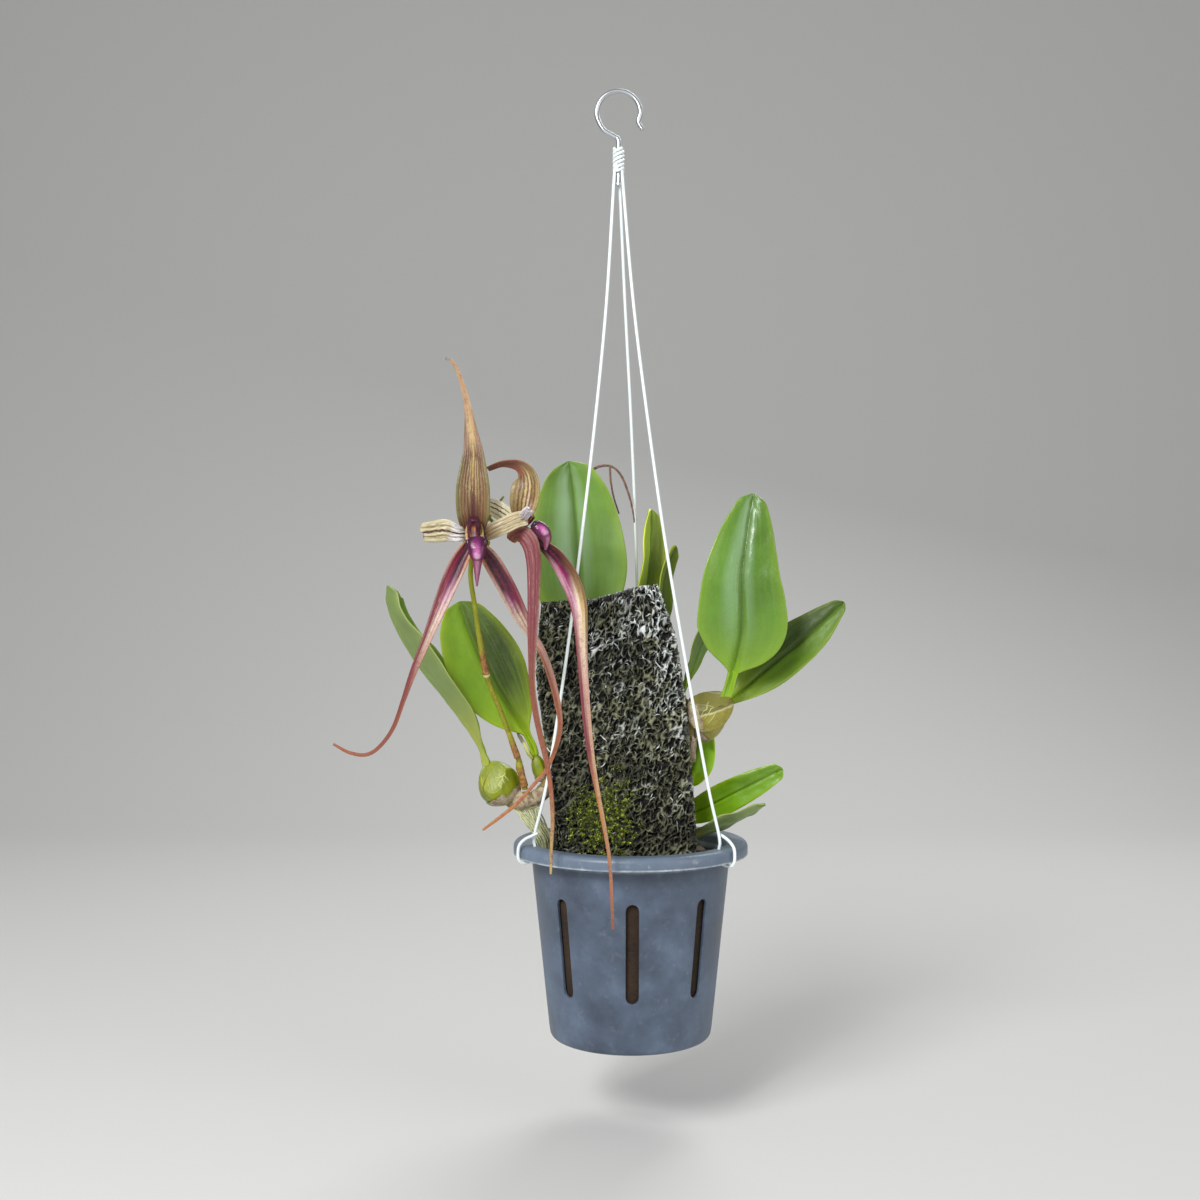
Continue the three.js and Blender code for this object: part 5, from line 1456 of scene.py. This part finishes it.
sepal_across = [-1, -0.97, -0.88, -0.72, -0.54, -0.36, -0.18, 0, 0.18, 0.36, 0.54, 0.72, 0.88, 0.97, 1]
tints = {
    "maroon": (54, 10, 20), "crimson": (126, 16, 50), "purple": (104, 18, 68), "magenta": (136, 22, 84),
    "lilac": (178, 130, 146), "cream": (206, 184, 160), "blush": (182, 142, 128), "rose": (122, 56, 58),
    "dusty": (120, 50, 58), "rust": (138, 78, 58), "tail": (158, 96, 68), "amber": (184, 120, 66),
    "tan": (124, 98, 58), "khaki": (114, 106, 60), "brown": (84, 42, 26), "gold": (184, 152, 76),
    "mauve": (136, 106, 84), "peach": (184, 148, 112), "umber": (100, 68, 40), "grey": (118, 132, 132),
    "straw": (192, 168, 112), "olive": (150, 132, 84),
}


def stops_of(text):
    """Ramp stops from words and shares such as 'gold 0, rose 0.4'."""
    pairs = [stop.split() for stop in text.split(", ")]
    return [(float(share), tints[word]) for word, share in pairs]


def lanes(finish, across, down, table, softness=0.6):
    """Colours in lanes. Each is its place across and the stops of a ramp from foot to tip."""
    colour, place = None, None
    for at, stops in table:
        ramp = finish.ramp(down, *stops_of(stops))
        if colour is None:
            colour, place = ramp, at
            continue
        centre, reach = (place + at) / 2, (at - place) / 2 * softness
        colour = finish.mix(finish.step(across, centre - reach, centre + reach), colour, ramp)
        place = at
    return colour


def sepal_finish(name, table, stripe, speckle, roughness=0.42):
    """stripe holds its colour's word, its strength, how far down it reaches and fades, and how many."""
    sepal = Finish(name, roughness=roughness)
    flat = sepal.place(by="UV")
    across = sepal.axis(flat, "X")
    down = sepal.axis(flat, "Y")
    wander = sepal.cloud(4, 3, 0.6, at=(1, 3, 1), by="UV")
    swayed = sepal.scaled(sepal.maths("SUBTRACT", wander, 0.5), 0.22, across)
    colour = lanes(sepal, swayed, down, table)
    word, strength, reach, fade, count = stripe
    wave = sepal.maths("SINE", sepal.times(swayed, count))
    breaks = sepal.cloud(1, 3, at=(7, 34, 1), by="UV")
    broken = sepal.plus(wave, sepal.scaled(breaks, 2.6, -1.3))
    striped = sepal.times(sepal.step(broken, 0.0, 0.7), sepal.step(down, reach, reach + fade, strength, 0))
    striped = sepal.times(striped, sepal.step(sepal.far(across), 0.4, 0.85, 1, 0.3))
    colour = sepal.mix(striped, colour, tints[word])
    gleam = sepal.times(sepal.step(broken, -0.9, -1.4), sepal.step(down, reach, reach + fade, 0.4, 0))
    gleam = sepal.times(gleam, sepal.step(down, 0.15, 0.25))
    colour = sepal.mix(gleam, colour, tints["cream"])
    blotches = sepal.step(sepal.cloud(380, 4, 0.65), 0.5, 0.66, 0, speckle)
    colour = sepal.mix(blotches, colour, tints["rose"])
    dots = sepal.step(sepal.cloud(1900, 2, 0.5), 0.54, 0.66, 0, speckle)
    sepal.colour(sepal.mix(dots, colour, tints["maroon"]))
    ridged = sepal.bump(wave, 0.00025, 0.5)
    sepal.bump(sepal.cloud(900, 4, 0.6), 0.0003, 0.5, under=ridged)
    return sepal


gold_margin = "brown 0, khaki 0.1, khaki 0.4, mauve 0.49, tan 0.55, peach 0.66, peach 0.9, grey 1"
gold_lane = "brown 0, tan 0.12, tan 0.34, umber 0.42, mauve 0.47, peach 0.56, peach 0.9, grey 1"
gold_inner = (
    "maroon 0, umber 0.14, olive 0.26, olive 0.4, umber 0.44, "
    "straw 0.51, peach 0.6, peach 0.9, grey 1"
)
rose_back = "tan 0, rust 0.15, dusty 0.4, rust 0.7, tail 1"
sepals = {
    "flower1_dorsal_sepal": {
        "rows": [
            (-95, -71, 197, 7.6, 0), (-95, -73, 206, 9.8, 0), (-95, -74, 217, 10.2, 0),
            (-95, -74, 227, 9.1, 0), (-95, -73, 241, 6.3, 0), (-97, -71, 258, 3.5, 0),
            (-99, -69, 271, 2.1, 0), (-103, -66, 286, 1.4, 0), (-108, -63, 297, 1, 0),
            (-113, -61, 300, 0.7, 0),
        ],
        "face": [
            (-0.95, gold_margin), (-0.55, gold_lane), (-0.2, gold_inner),
            (0, "maroon 0, maroon 0.14, brown 0.22, gold 0.4, straw 0.5, straw 0.66, peach 0.72, "
                "peach 0.9, grey 1"),
            (0.2, gold_inner), (0.55, gold_lane), (0.95, gold_margin),
        ],
        "back": [(-1, "khaki 0, mauve 0.5, grey 1"), (1, "khaki 0, mauve 0.5, grey 1")],
        "stripe": ("brown", 0.85, 0.3, 0.3, 33),
    },
    "flower1_lateral_sepal_left": {
        "rows": [
            (-98, -71, 187, 3.6, -10), (-103, -74, 178, 5.2, -10), (-108, -78, 166, 5.3, -8),
            (-114, -82, 150, 4.3, 0), (-121, -85, 132, 2.9, 0), (-129, -87, 112, 2.1, 0),
            (-135, -87, 95, 1.4, 0), (-141, -86, 79, 1.2, 0), (-149, -85, 68, 1.1, 0),
            (-157, -84, 63, 1.1, 0), (-167, -83, 64, 1, 0), (-177, -82, 69, 0.7, 0),
        ],
        "face": [
            (-0.95, "amber 0, amber 0.08, blush 0.16, blush 0.34, rust 0.5, tail 0.8, tail 1"),
            (-0.5, "maroon 0, maroon 0.16, lilac 0.23, cream 0.3, blush 0.38, rust 0.5, tail 1"),
            (0.0, "maroon 0, maroon 0.15, purple 0.19, lilac 0.25, cream 0.34, rose 0.46, tail 1"),
            (0.5, "maroon 0, crimson 0.1, crimson 0.17, rose 0.27, rose 0.5, tail 1"),
            (0.92, "amber 0, blush 0.08, rose 0.2, rose 0.5, rust 0.7, tail 1"),
        ],
        "back": [(-1, rose_back), (1, rose_back)],
        "stripe": ("purple", 0.6, 0.26, 0.2, 10),
    },
    "flower1_lateral_sepal_right": {
        "rows": [
            (-91, -70, 186, 3.6, 10), (-84, -70, 177, 5.5, 10), (-75, -67, 161, 5.6, 8),
            (-67.5, -62, 145, 4.6, 0), (-61, -57, 133, 3, 0), (-55, -54, 123, 2.4, 0),
            (-50, -51, 109, 2.3, 0), (-46, -49, 93, 2, 0), (-44, -48, 79, 1.6, 0), (-46, -47, 66, 1.4, 0),
            (-52, -47, 51, 1.2, 0), (-61, -48, 40, 1.1, 0), (-70, -50, 30, 1.1, 0), (-80, -52, 22, 1, 0),
            (-91, -54, 14, 0.7, 0),
        ],
        "face": [
            (-0.95, "amber 0, blush 0.06, rose 0.14, blush 0.36, tail 0.6, amber 1"),
            (-0.5, "maroon 0, maroon 0.13, crimson 0.18, blush 0.24, blush 0.38, tail 0.6, amber 1"),
            (0.0, "crimson 0, maroon 0.05, maroon 0.14, purple 0.17, cream 0.22, blush 0.36, rust 0.5, "
                  "amber 1"),
            (0.5, "maroon 0, maroon 0.14, lilac 0.18, cream 0.22, blush 0.28, rust 0.4, amber 1"),
            (0.92, "amber 0, amber 0.06, blush 0.12, cream 0.26, tail 0.36, amber 1"),
        ],
        "back": [(-1, rose_back), (1, rose_back)],
        "stripe": ("purple", 0.6, 0.19, 0.16, 10),
    },
    "flower2_dorsal_sepal": {
        "rows": [
            (-66, -63, 203, 5.8, -20), (-65, -66, 210, 8.6, -20), (-63.6, -68, 217, 9.6, -22),
            (-62.8, -68, 224, 9.2, -28), (-64.3, -66, 231, 7.4, -44), (-70, -62, 236, 5.2, -60),
            (-79, -57, 237, 3.2, -60), (-88, -53, 234, 2, -50),
        ],
        "face": [
            (-0.95, "tan 0, olive 0.2, olive 0.5, rust 0.7, rust 1"),
            (-0.45, "tan 0, olive 0.2, tan 0.5, rust 0.7, rust 1"),
            (0.0, "umber 0, straw 0.12, straw 0.3, olive 0.5, rust 0.7, rust 1"),
            (0.22, "cream 0, cream 0.2, straw 0.36, straw 0.5, rust 0.7, rust 1"),
            (0.5, "lilac 0, cream 0.14, tan 0.26, olive 0.5, rust 0.7, rust 1"),
            (0.95, "olive 0, straw 0.2, olive 0.5, rust 0.7, rust 1"),
        ],
        "back": [(-1, "rose 0, rust 0.5, peach 1"), (1, "rose 0, rust 0.5, peach 1")],
        "stripe": ("brown", 0.8, 0.45, 0.2, 22),
    },
    "flower2_lateral_sepal_left": {
        "rows": [
            (-73.4, -64.5, 189.6, 3, 180), (-71.2, -66.2, 192.4, 4.4, 180), (-66, -68.8, 193.2, 5.4, 180),
            (-61.4, -71.2, 188, 5.2, 180), (-59.3, -72.5, 178, 4.5, 180), (-59, -74, 165, 3.9, 180),
            (-59.2, -75.5, 150, 3.5, 180), (-59.6, -76, 136, 3.1, 180), (-60, -76, 120, 2.3, 180),
            (-60, -75, 104, 1.8, 180), (-58, -73, 87, 1.8, 180), (-55, -71, 72, 1.7, 180),
            (-51.5, -69, 57, 1.6, 180), (-49, -68, 40, 1.4, 180), (-48, -68, 22, 1.2, 180),
            (-48.7, -69, 6, 1, 180), (-49, -70, -10, 0.7, 180),
        ],
        "face": [(-1, "maroon 0, blush 0.3, tail 1"), (1, "maroon 0, blush 0.3, tail 1")],
        "back": [
            (-0.9, "amber 0, rust 0.1, dusty 0.2, dusty 0.4, rust 0.55, tail 0.8, straw 1"),
            (-0.3, "rust 0, rose 0.12, dusty 0.22, dusty 0.42, rust 0.6, tail 0.8, straw 1"),
            (0.4, "rust 0, rose 0.14, dusty 0.24, dusty 0.42, rust 0.6, tail 0.8, straw 1"),
            (0.9, "tan 0, blush 0.12, rose 0.24, blush 0.44, peach 0.6, tail 0.8, straw 1"),
        ],
        "stripe": ("maroon", 0.14, 0.3, 0.3, 13),
    },
    "flower2_lateral_sepal_right": {
        "rows": [
            (-58, -62, 192, 3.4, 40), (-51.5, -63.5, 186, 4.8, 40), (-44.5, -66, 179, 6.2, 36),
            (-37, -70, 167, 6.7, 30), (-32.2, -74, 153, 5.6, 20), (-30.8, -77, 139, 4.2, 10),
            (-30.2, -79, 123, 3.3, 0), (-29, -81, 104, 2.8, 0), (-27, -82, 80, 2.5, 0),
            (-24.5, -83, 60, 2, 0), (-21, -84, 41, 1.4, 0), (-17, -85, 20, 1.2, 0), (-14, -86, 1, 1, 0),
            (-12.8, -87, -19, 0.9, 0), (-12, -88, -39, 0.7, 0),
        ],
        "face": [
            (-0.95, "maroon 0, maroon 0.07, brown 0.11, umber 0.17, tan 0.28, tan 0.38, blush 0.5, "
                    "peach 0.7, tail 1"),
            (-0.4, "maroon 0, maroon 0.14, tan 0.21, straw 0.3, cream 0.42, blush 0.52, peach 0.7, tail 1"),
            (0.1, "maroon 0, maroon 0.17, purple 0.2, cream 0.27, cream 0.4, blush 0.5, dusty 0.62, "
                  "peach 0.72, tail 1"),
            (0.5, "maroon 0, maroon 0.13, magenta 0.17, magenta 0.23, lilac 0.3, blush 0.38, dusty 0.5, "
                  "dusty 0.62, amber 0.75, tail 1"),
            (0.95, "maroon 0, rose 0.1, lilac 0.2, dusty 0.3, dusty 0.5, dusty 0.62, amber 0.75, tail 1"),
        ],
        "back": [(-1, rose_back), (1, rose_back)],
        "stripe": ("purple", 0.55, 0.16, 0.2, 10),
    },
}

sepal_thickness, steps_per_row = 1.1, 8

for node, form in sepals.items():
    sepal_mesh = new_bmesh()
    steps = steps_per_row * len(form["rows"])
    blade(sepal_mesh, form["rows"], steps, sepal_across, sepal_thickness, cup=0.3, buckle=0.25)
    sepal_piece = piece_of(
        sepal_mesh, node + "_striped",
        sepal_finish(node + "_face", form["face"], form["stripe"], 0.35),
        sepal_finish(node + "_back", form["back"], form["stripe"], 0.5, 0.5),
    )
    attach(sepal_piece, "root")
    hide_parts(node)

# ---------------------------------------------------------------- petals
# Two small cream petals to a flower, much shorter than its sepals. They are thin and fleshy, striped
# with brown along their length, and end square and ragged.

petals = {
    "flower1_petal_left": [
        (-99, -71, 193.4, 4.2, 0), (-105, -76, 193.6, 5.2, 0), (-111.6, -77, 195.2, 6.8, 0),
        (-119, -74, 194.7, 6.5, 0), (-126, -69, 194.4, 5.8, 0),
    ],
    "flower1_petal_right": [
        (-89, -71, 193, 4.2, 0), (-84, -75, 195, 4.8, 0), (-77, -77, 198, 4.9, 0),
        (-70, -75, 201.5, 4.8, 0), (-64.5, -72, 203, 4.6, 0),
    ],
    "flower2_petal_left": [
        (-71, -62, 200, 3.6, -10), (-76, -61.5, 205, 5, -10), (-81.5, -61, 208.5, 5.4, -10),
        (-86.5, -60.5, 211, 5, -10),
    ],
    "flower2_petal_right": [
        (-66.5, -68.5, 200.5, 2.6, 0), (-65, -73, 203.5, 3, 10), (-63, -78, 206, 3, 20),
        (-61, -83, 207, 2.6, 20),
    ],
}


def petal_finish(name, cream, pale, stripe, lines, foot, sheen):
    """lines are places across, half widths and strengths. foot is how brown the base is, sheen how white."""
    petal = Finish(name, roughness=0.42)
    across = petal.axis(petal.place(by="UV"), "X")
    down = petal.axis(petal.place(by="UV"), "Y")
    wander = petal.cloud(3, 3, 0.6, at=(0.8, 2.6, 1), by="UV")
    sway = petal.scaled(petal.maths("SUBTRACT", wander, 0.5), 0.35, across)
    mottle = petal.cloud(2.4, 4, 0.6, at=(2.4, 1.8, 1), by="UV")
    breaks = petal.cloud(2, 3, at=(3, 6, 1), by="UV")
    colour = petal.mix(petal.step(mottle, 0.38, 0.62), cream, pale)
    colour = petal.mix(petal.step(petal.far(across), 0.6, 0.95, 0, 0.8), colour, pale)
    colour = petal.mix(petal.step(down, 0.8, 1.0, 0, 0.7), colour, pale)
    colour = petal.mix(petal.step(down, 0.15, 0.7, foot, 0), colour, stripe)
    shine = petal.times(petal.step(down, 0.02, 0.18, 0, sheen), petal.step(down, 0.28, 0.46, 1, 0))
    colour = petal.mix(petal.times(shine, petal.step(mottle, 0.3, 0.5)), colour, (232, 228, 230))
    for at, half, strength in lines:
        off = petal.far(sway, at)
        line = petal.step(off, 0.35 * half, half, strength, 0)
        line = petal.times(line, petal.step(breaks, 0.3, 0.46, 0.3, 1))
        colour = petal.mix(line, colour, stripe)
    petal.colour(colour)
    petal.bump(petal.maths("SINE", petal.times(sway, 14)), 0.0003, 0.5)
    return petal


cream_petal = petal_finish(
    "cream_petal", (136, 124, 84), (198, 188, 154), (72, 42, 34),
    [(0.0, 0.15, 1.0), (-0.42, 0.09, 0.6), (0.5, 0.08, 0.4)], 0.15, 0.9)
flushed_petal = petal_finish(
    "flushed_petal", (162, 146, 104), (206, 192, 158), (88, 62, 34),
    [(-0.1, 0.09, 0.6), (0.35, 0.08, 0.45), (-0.6, 0.07, 0.35)], 0.8, 0.0)
striped_petal = petal_finish(
    "striped_petal", (232, 218, 172), (246, 240, 206), (66, 36, 24),
    [(-0.5, 0.07, 0.7), (0.0, 0.1, 1.0), (0.45, 0.08, 0.9)], 0.2, 0.0)
lilac_petal = petal_finish(
    "lilac_petal", (190, 180, 192), (228, 224, 230), (110, 60, 80),
    [(-0.4, 0.1, 0.5), (0.3, 0.1, 0.4)], 0.3, 0.0)
petal_skins = dict(zip(petals, (cream_petal, flushed_petal, striped_petal, lilac_petal)))

petal_thickness, petal_steps = 0.8, 30

for node, rows in petals.items():
    petal_mesh = new_bmesh()
    blade(
        petal_mesh, rows, petal_steps, sepal_across, petal_thickness, cup=-0.12, ripple=0.5, wave_count=7,
        buckle=0.6, fray=4.4, under=0,
    )
    petal_piece = piece_of(petal_mesh, node + "_striped", petal_skins[node])
    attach(petal_piece, "root")
    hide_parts(node)

# ---------------------------------------------------------------- old flower stalk
# Last season's stalk, dried brown and papery. It rises behind the slab, arches over its top and
# hangs down there with the tails of a shrivelled flower.

dried_skin = paper_finish("dried_skin", (150, 118, 96), (96, 66, 54), 0.8)


def shrivelled(u, share, middle):
    return 1 + 0.25 * noise.noise(middle * 0.7 + Vector((0, 0, u * 3)))


dried_mesh = new_bmesh()
for rows, steps in (
    ([(4, 12, 98, 1.2), (2, 29, 120, 1.1), (-10, 34, 170, 1), (-22, 34, 215, 0.9), (-27, 33, 236, 0.9),
      (-22, 32, 242, 0.9), (-13, 30, 243, 0.8), (-6, 28, 237, 0.8), (-1, 25, 225, 0.7), (2, 23, 213, 0.6),
      (3, 22, 205, 0.5)], 100),
    ([(-13, 30, 243, 0.7), (-12.5, 29, 233, 0.7), (-10.5, 28, 222, 0.6), (-7, 27, 211, 0.5)], 30),
):
    stem(dried_mesh, rows, steps, 8, 0, shrivelled)
dried_piece = piece_of(dried_mesh, "old_stalk_dried", dried_skin)
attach(dried_piece, "root")
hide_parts("old_stalk")

# ---------------------------------------------------------------- hanger
# Three stiff zinc wires, painted near white as a painted reflection, wound round the shank of a bent steel
# hook, over a foot that they can't slip off. Each goes down through a hole in the rim, round under its
# edge and back up.

hook_middle, wire_radius, hook_radius, foot_radius = (-7.7, -2), 1, 1.5, 2.3
bend_radius, bend_height = 14, 467
wrap_bottom, wrap_height, wrap_radius, wraps, wrap_steps = 428, 16, 2.85, 2, 8
wire_bends = {
    "left": [
        (-15.4, -6.7, 344.6), (-22.8, -11.3, 267), (-31.6, -15.9, 191), (-41, -20.3, 116),
        (-52.6, -24.8, 41),
    ],
    "right": [(1.7, -8.8, 344), (10.9, -15.4, 267), (21.4, -21.9, 191), (34, -28.3, 115), (47, -34.6, 41)],
    "back": [(-3.4, 10.1, 348), (0.9, 22.3, 271), (4.3, 34.7, 193), (6, 46, 115), (6.4, 58, 41)],
}
rim_loop = [
    (66.4, 8, 0), (66.4, 0, 0), (66.6, -5.5, 0), (68, -8.5, 0), (71.2, -9.8, 0), (75, -9.7, 0),
    (77.2, -7.4, 0), (77.6, -3, 0), (76.8, 1.4, 0.3), (73.5, 4.8, 1), (69, 7, 2.4), (65.6, 8.4, 2.8),
]

# Painted reflection: the wire is a plain near-white, not metal, standing for the bright light its zinc
# reflects.
bright_wire = Finish("bright_wire", base_color=(232, 240, 240), metallic=0.0, roughness=0.35)
bright_wire.bump(bright_wire.cloud(400, 4), 0.0002, 0.3)
hook_steel = Finish("hook_steel", base_color=(196, 200, 204), metallic=1.0, roughness=0.3)
hook_steel.bump(hook_steel.cloud(300, 4), 0.0002, 0.3)

for side, degrees in wire_turns.items():
    turn = math.radians(degrees)
    rows = []
    for k in range(wraps * wrap_steps + 1):
        angle = turn - 2 * math.pi * k / wrap_steps
        drop = wrap_bottom + wrap_height * (1 - k / (wraps * wrap_steps))
        x, y = wrap_radius * math.cos(angle), wrap_radius * math.sin(angle)
        rows.append((hook_middle[0] + x, hook_middle[1] + y, drop, wire_radius))
    rows += [(*point, wire_radius) for point in wire_bends[side]]
    for radius, z, aside in rim_loop:
        x = radius * math.cos(turn) - aside * math.sin(turn)
        y = radius * math.sin(turn) + aside * math.cos(turn)
        rows.append((x, y, z, wire_radius))
    wire_mesh = new_bmesh()
    stem(wire_mesh, rows, 5 * (len(rows) - 1), 12)
    wire_piece = piece_of(wire_mesh, "hanger_wire_" + side + "_bright", bright_wire)
    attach(wire_piece, "root")
    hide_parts("hanger_wire_" + side)

hook_rows = [(0, 420, foot_radius), (0, 422, foot_radius)]
hook_rows += [(x, z, hook_radius) for x, z in ((0, 424), (0, 448), (-3, 452), (-9, 455.5))]
for degrees in range(205, -26, -23):
    turn = math.radians(degrees)
    hook_rows.append((bend_radius * math.cos(turn), bend_height + bend_radius * math.sin(turn), hook_radius))
hook_rows.append((bend_radius + 1.5, bend_height - 11, hook_radius))
hook_mesh = new_bmesh()
hook_rows = [(hook_middle[0] + x, hook_middle[1], z, r) for x, z, r in hook_rows]
stem(hook_mesh, hook_rows, 5 * (len(hook_rows) - 1), 16)
hook_piece = piece_of(hook_mesh, "hanger_hook_bent", hook_steel)
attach(hook_piece, "root")
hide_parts("hanger_hook")
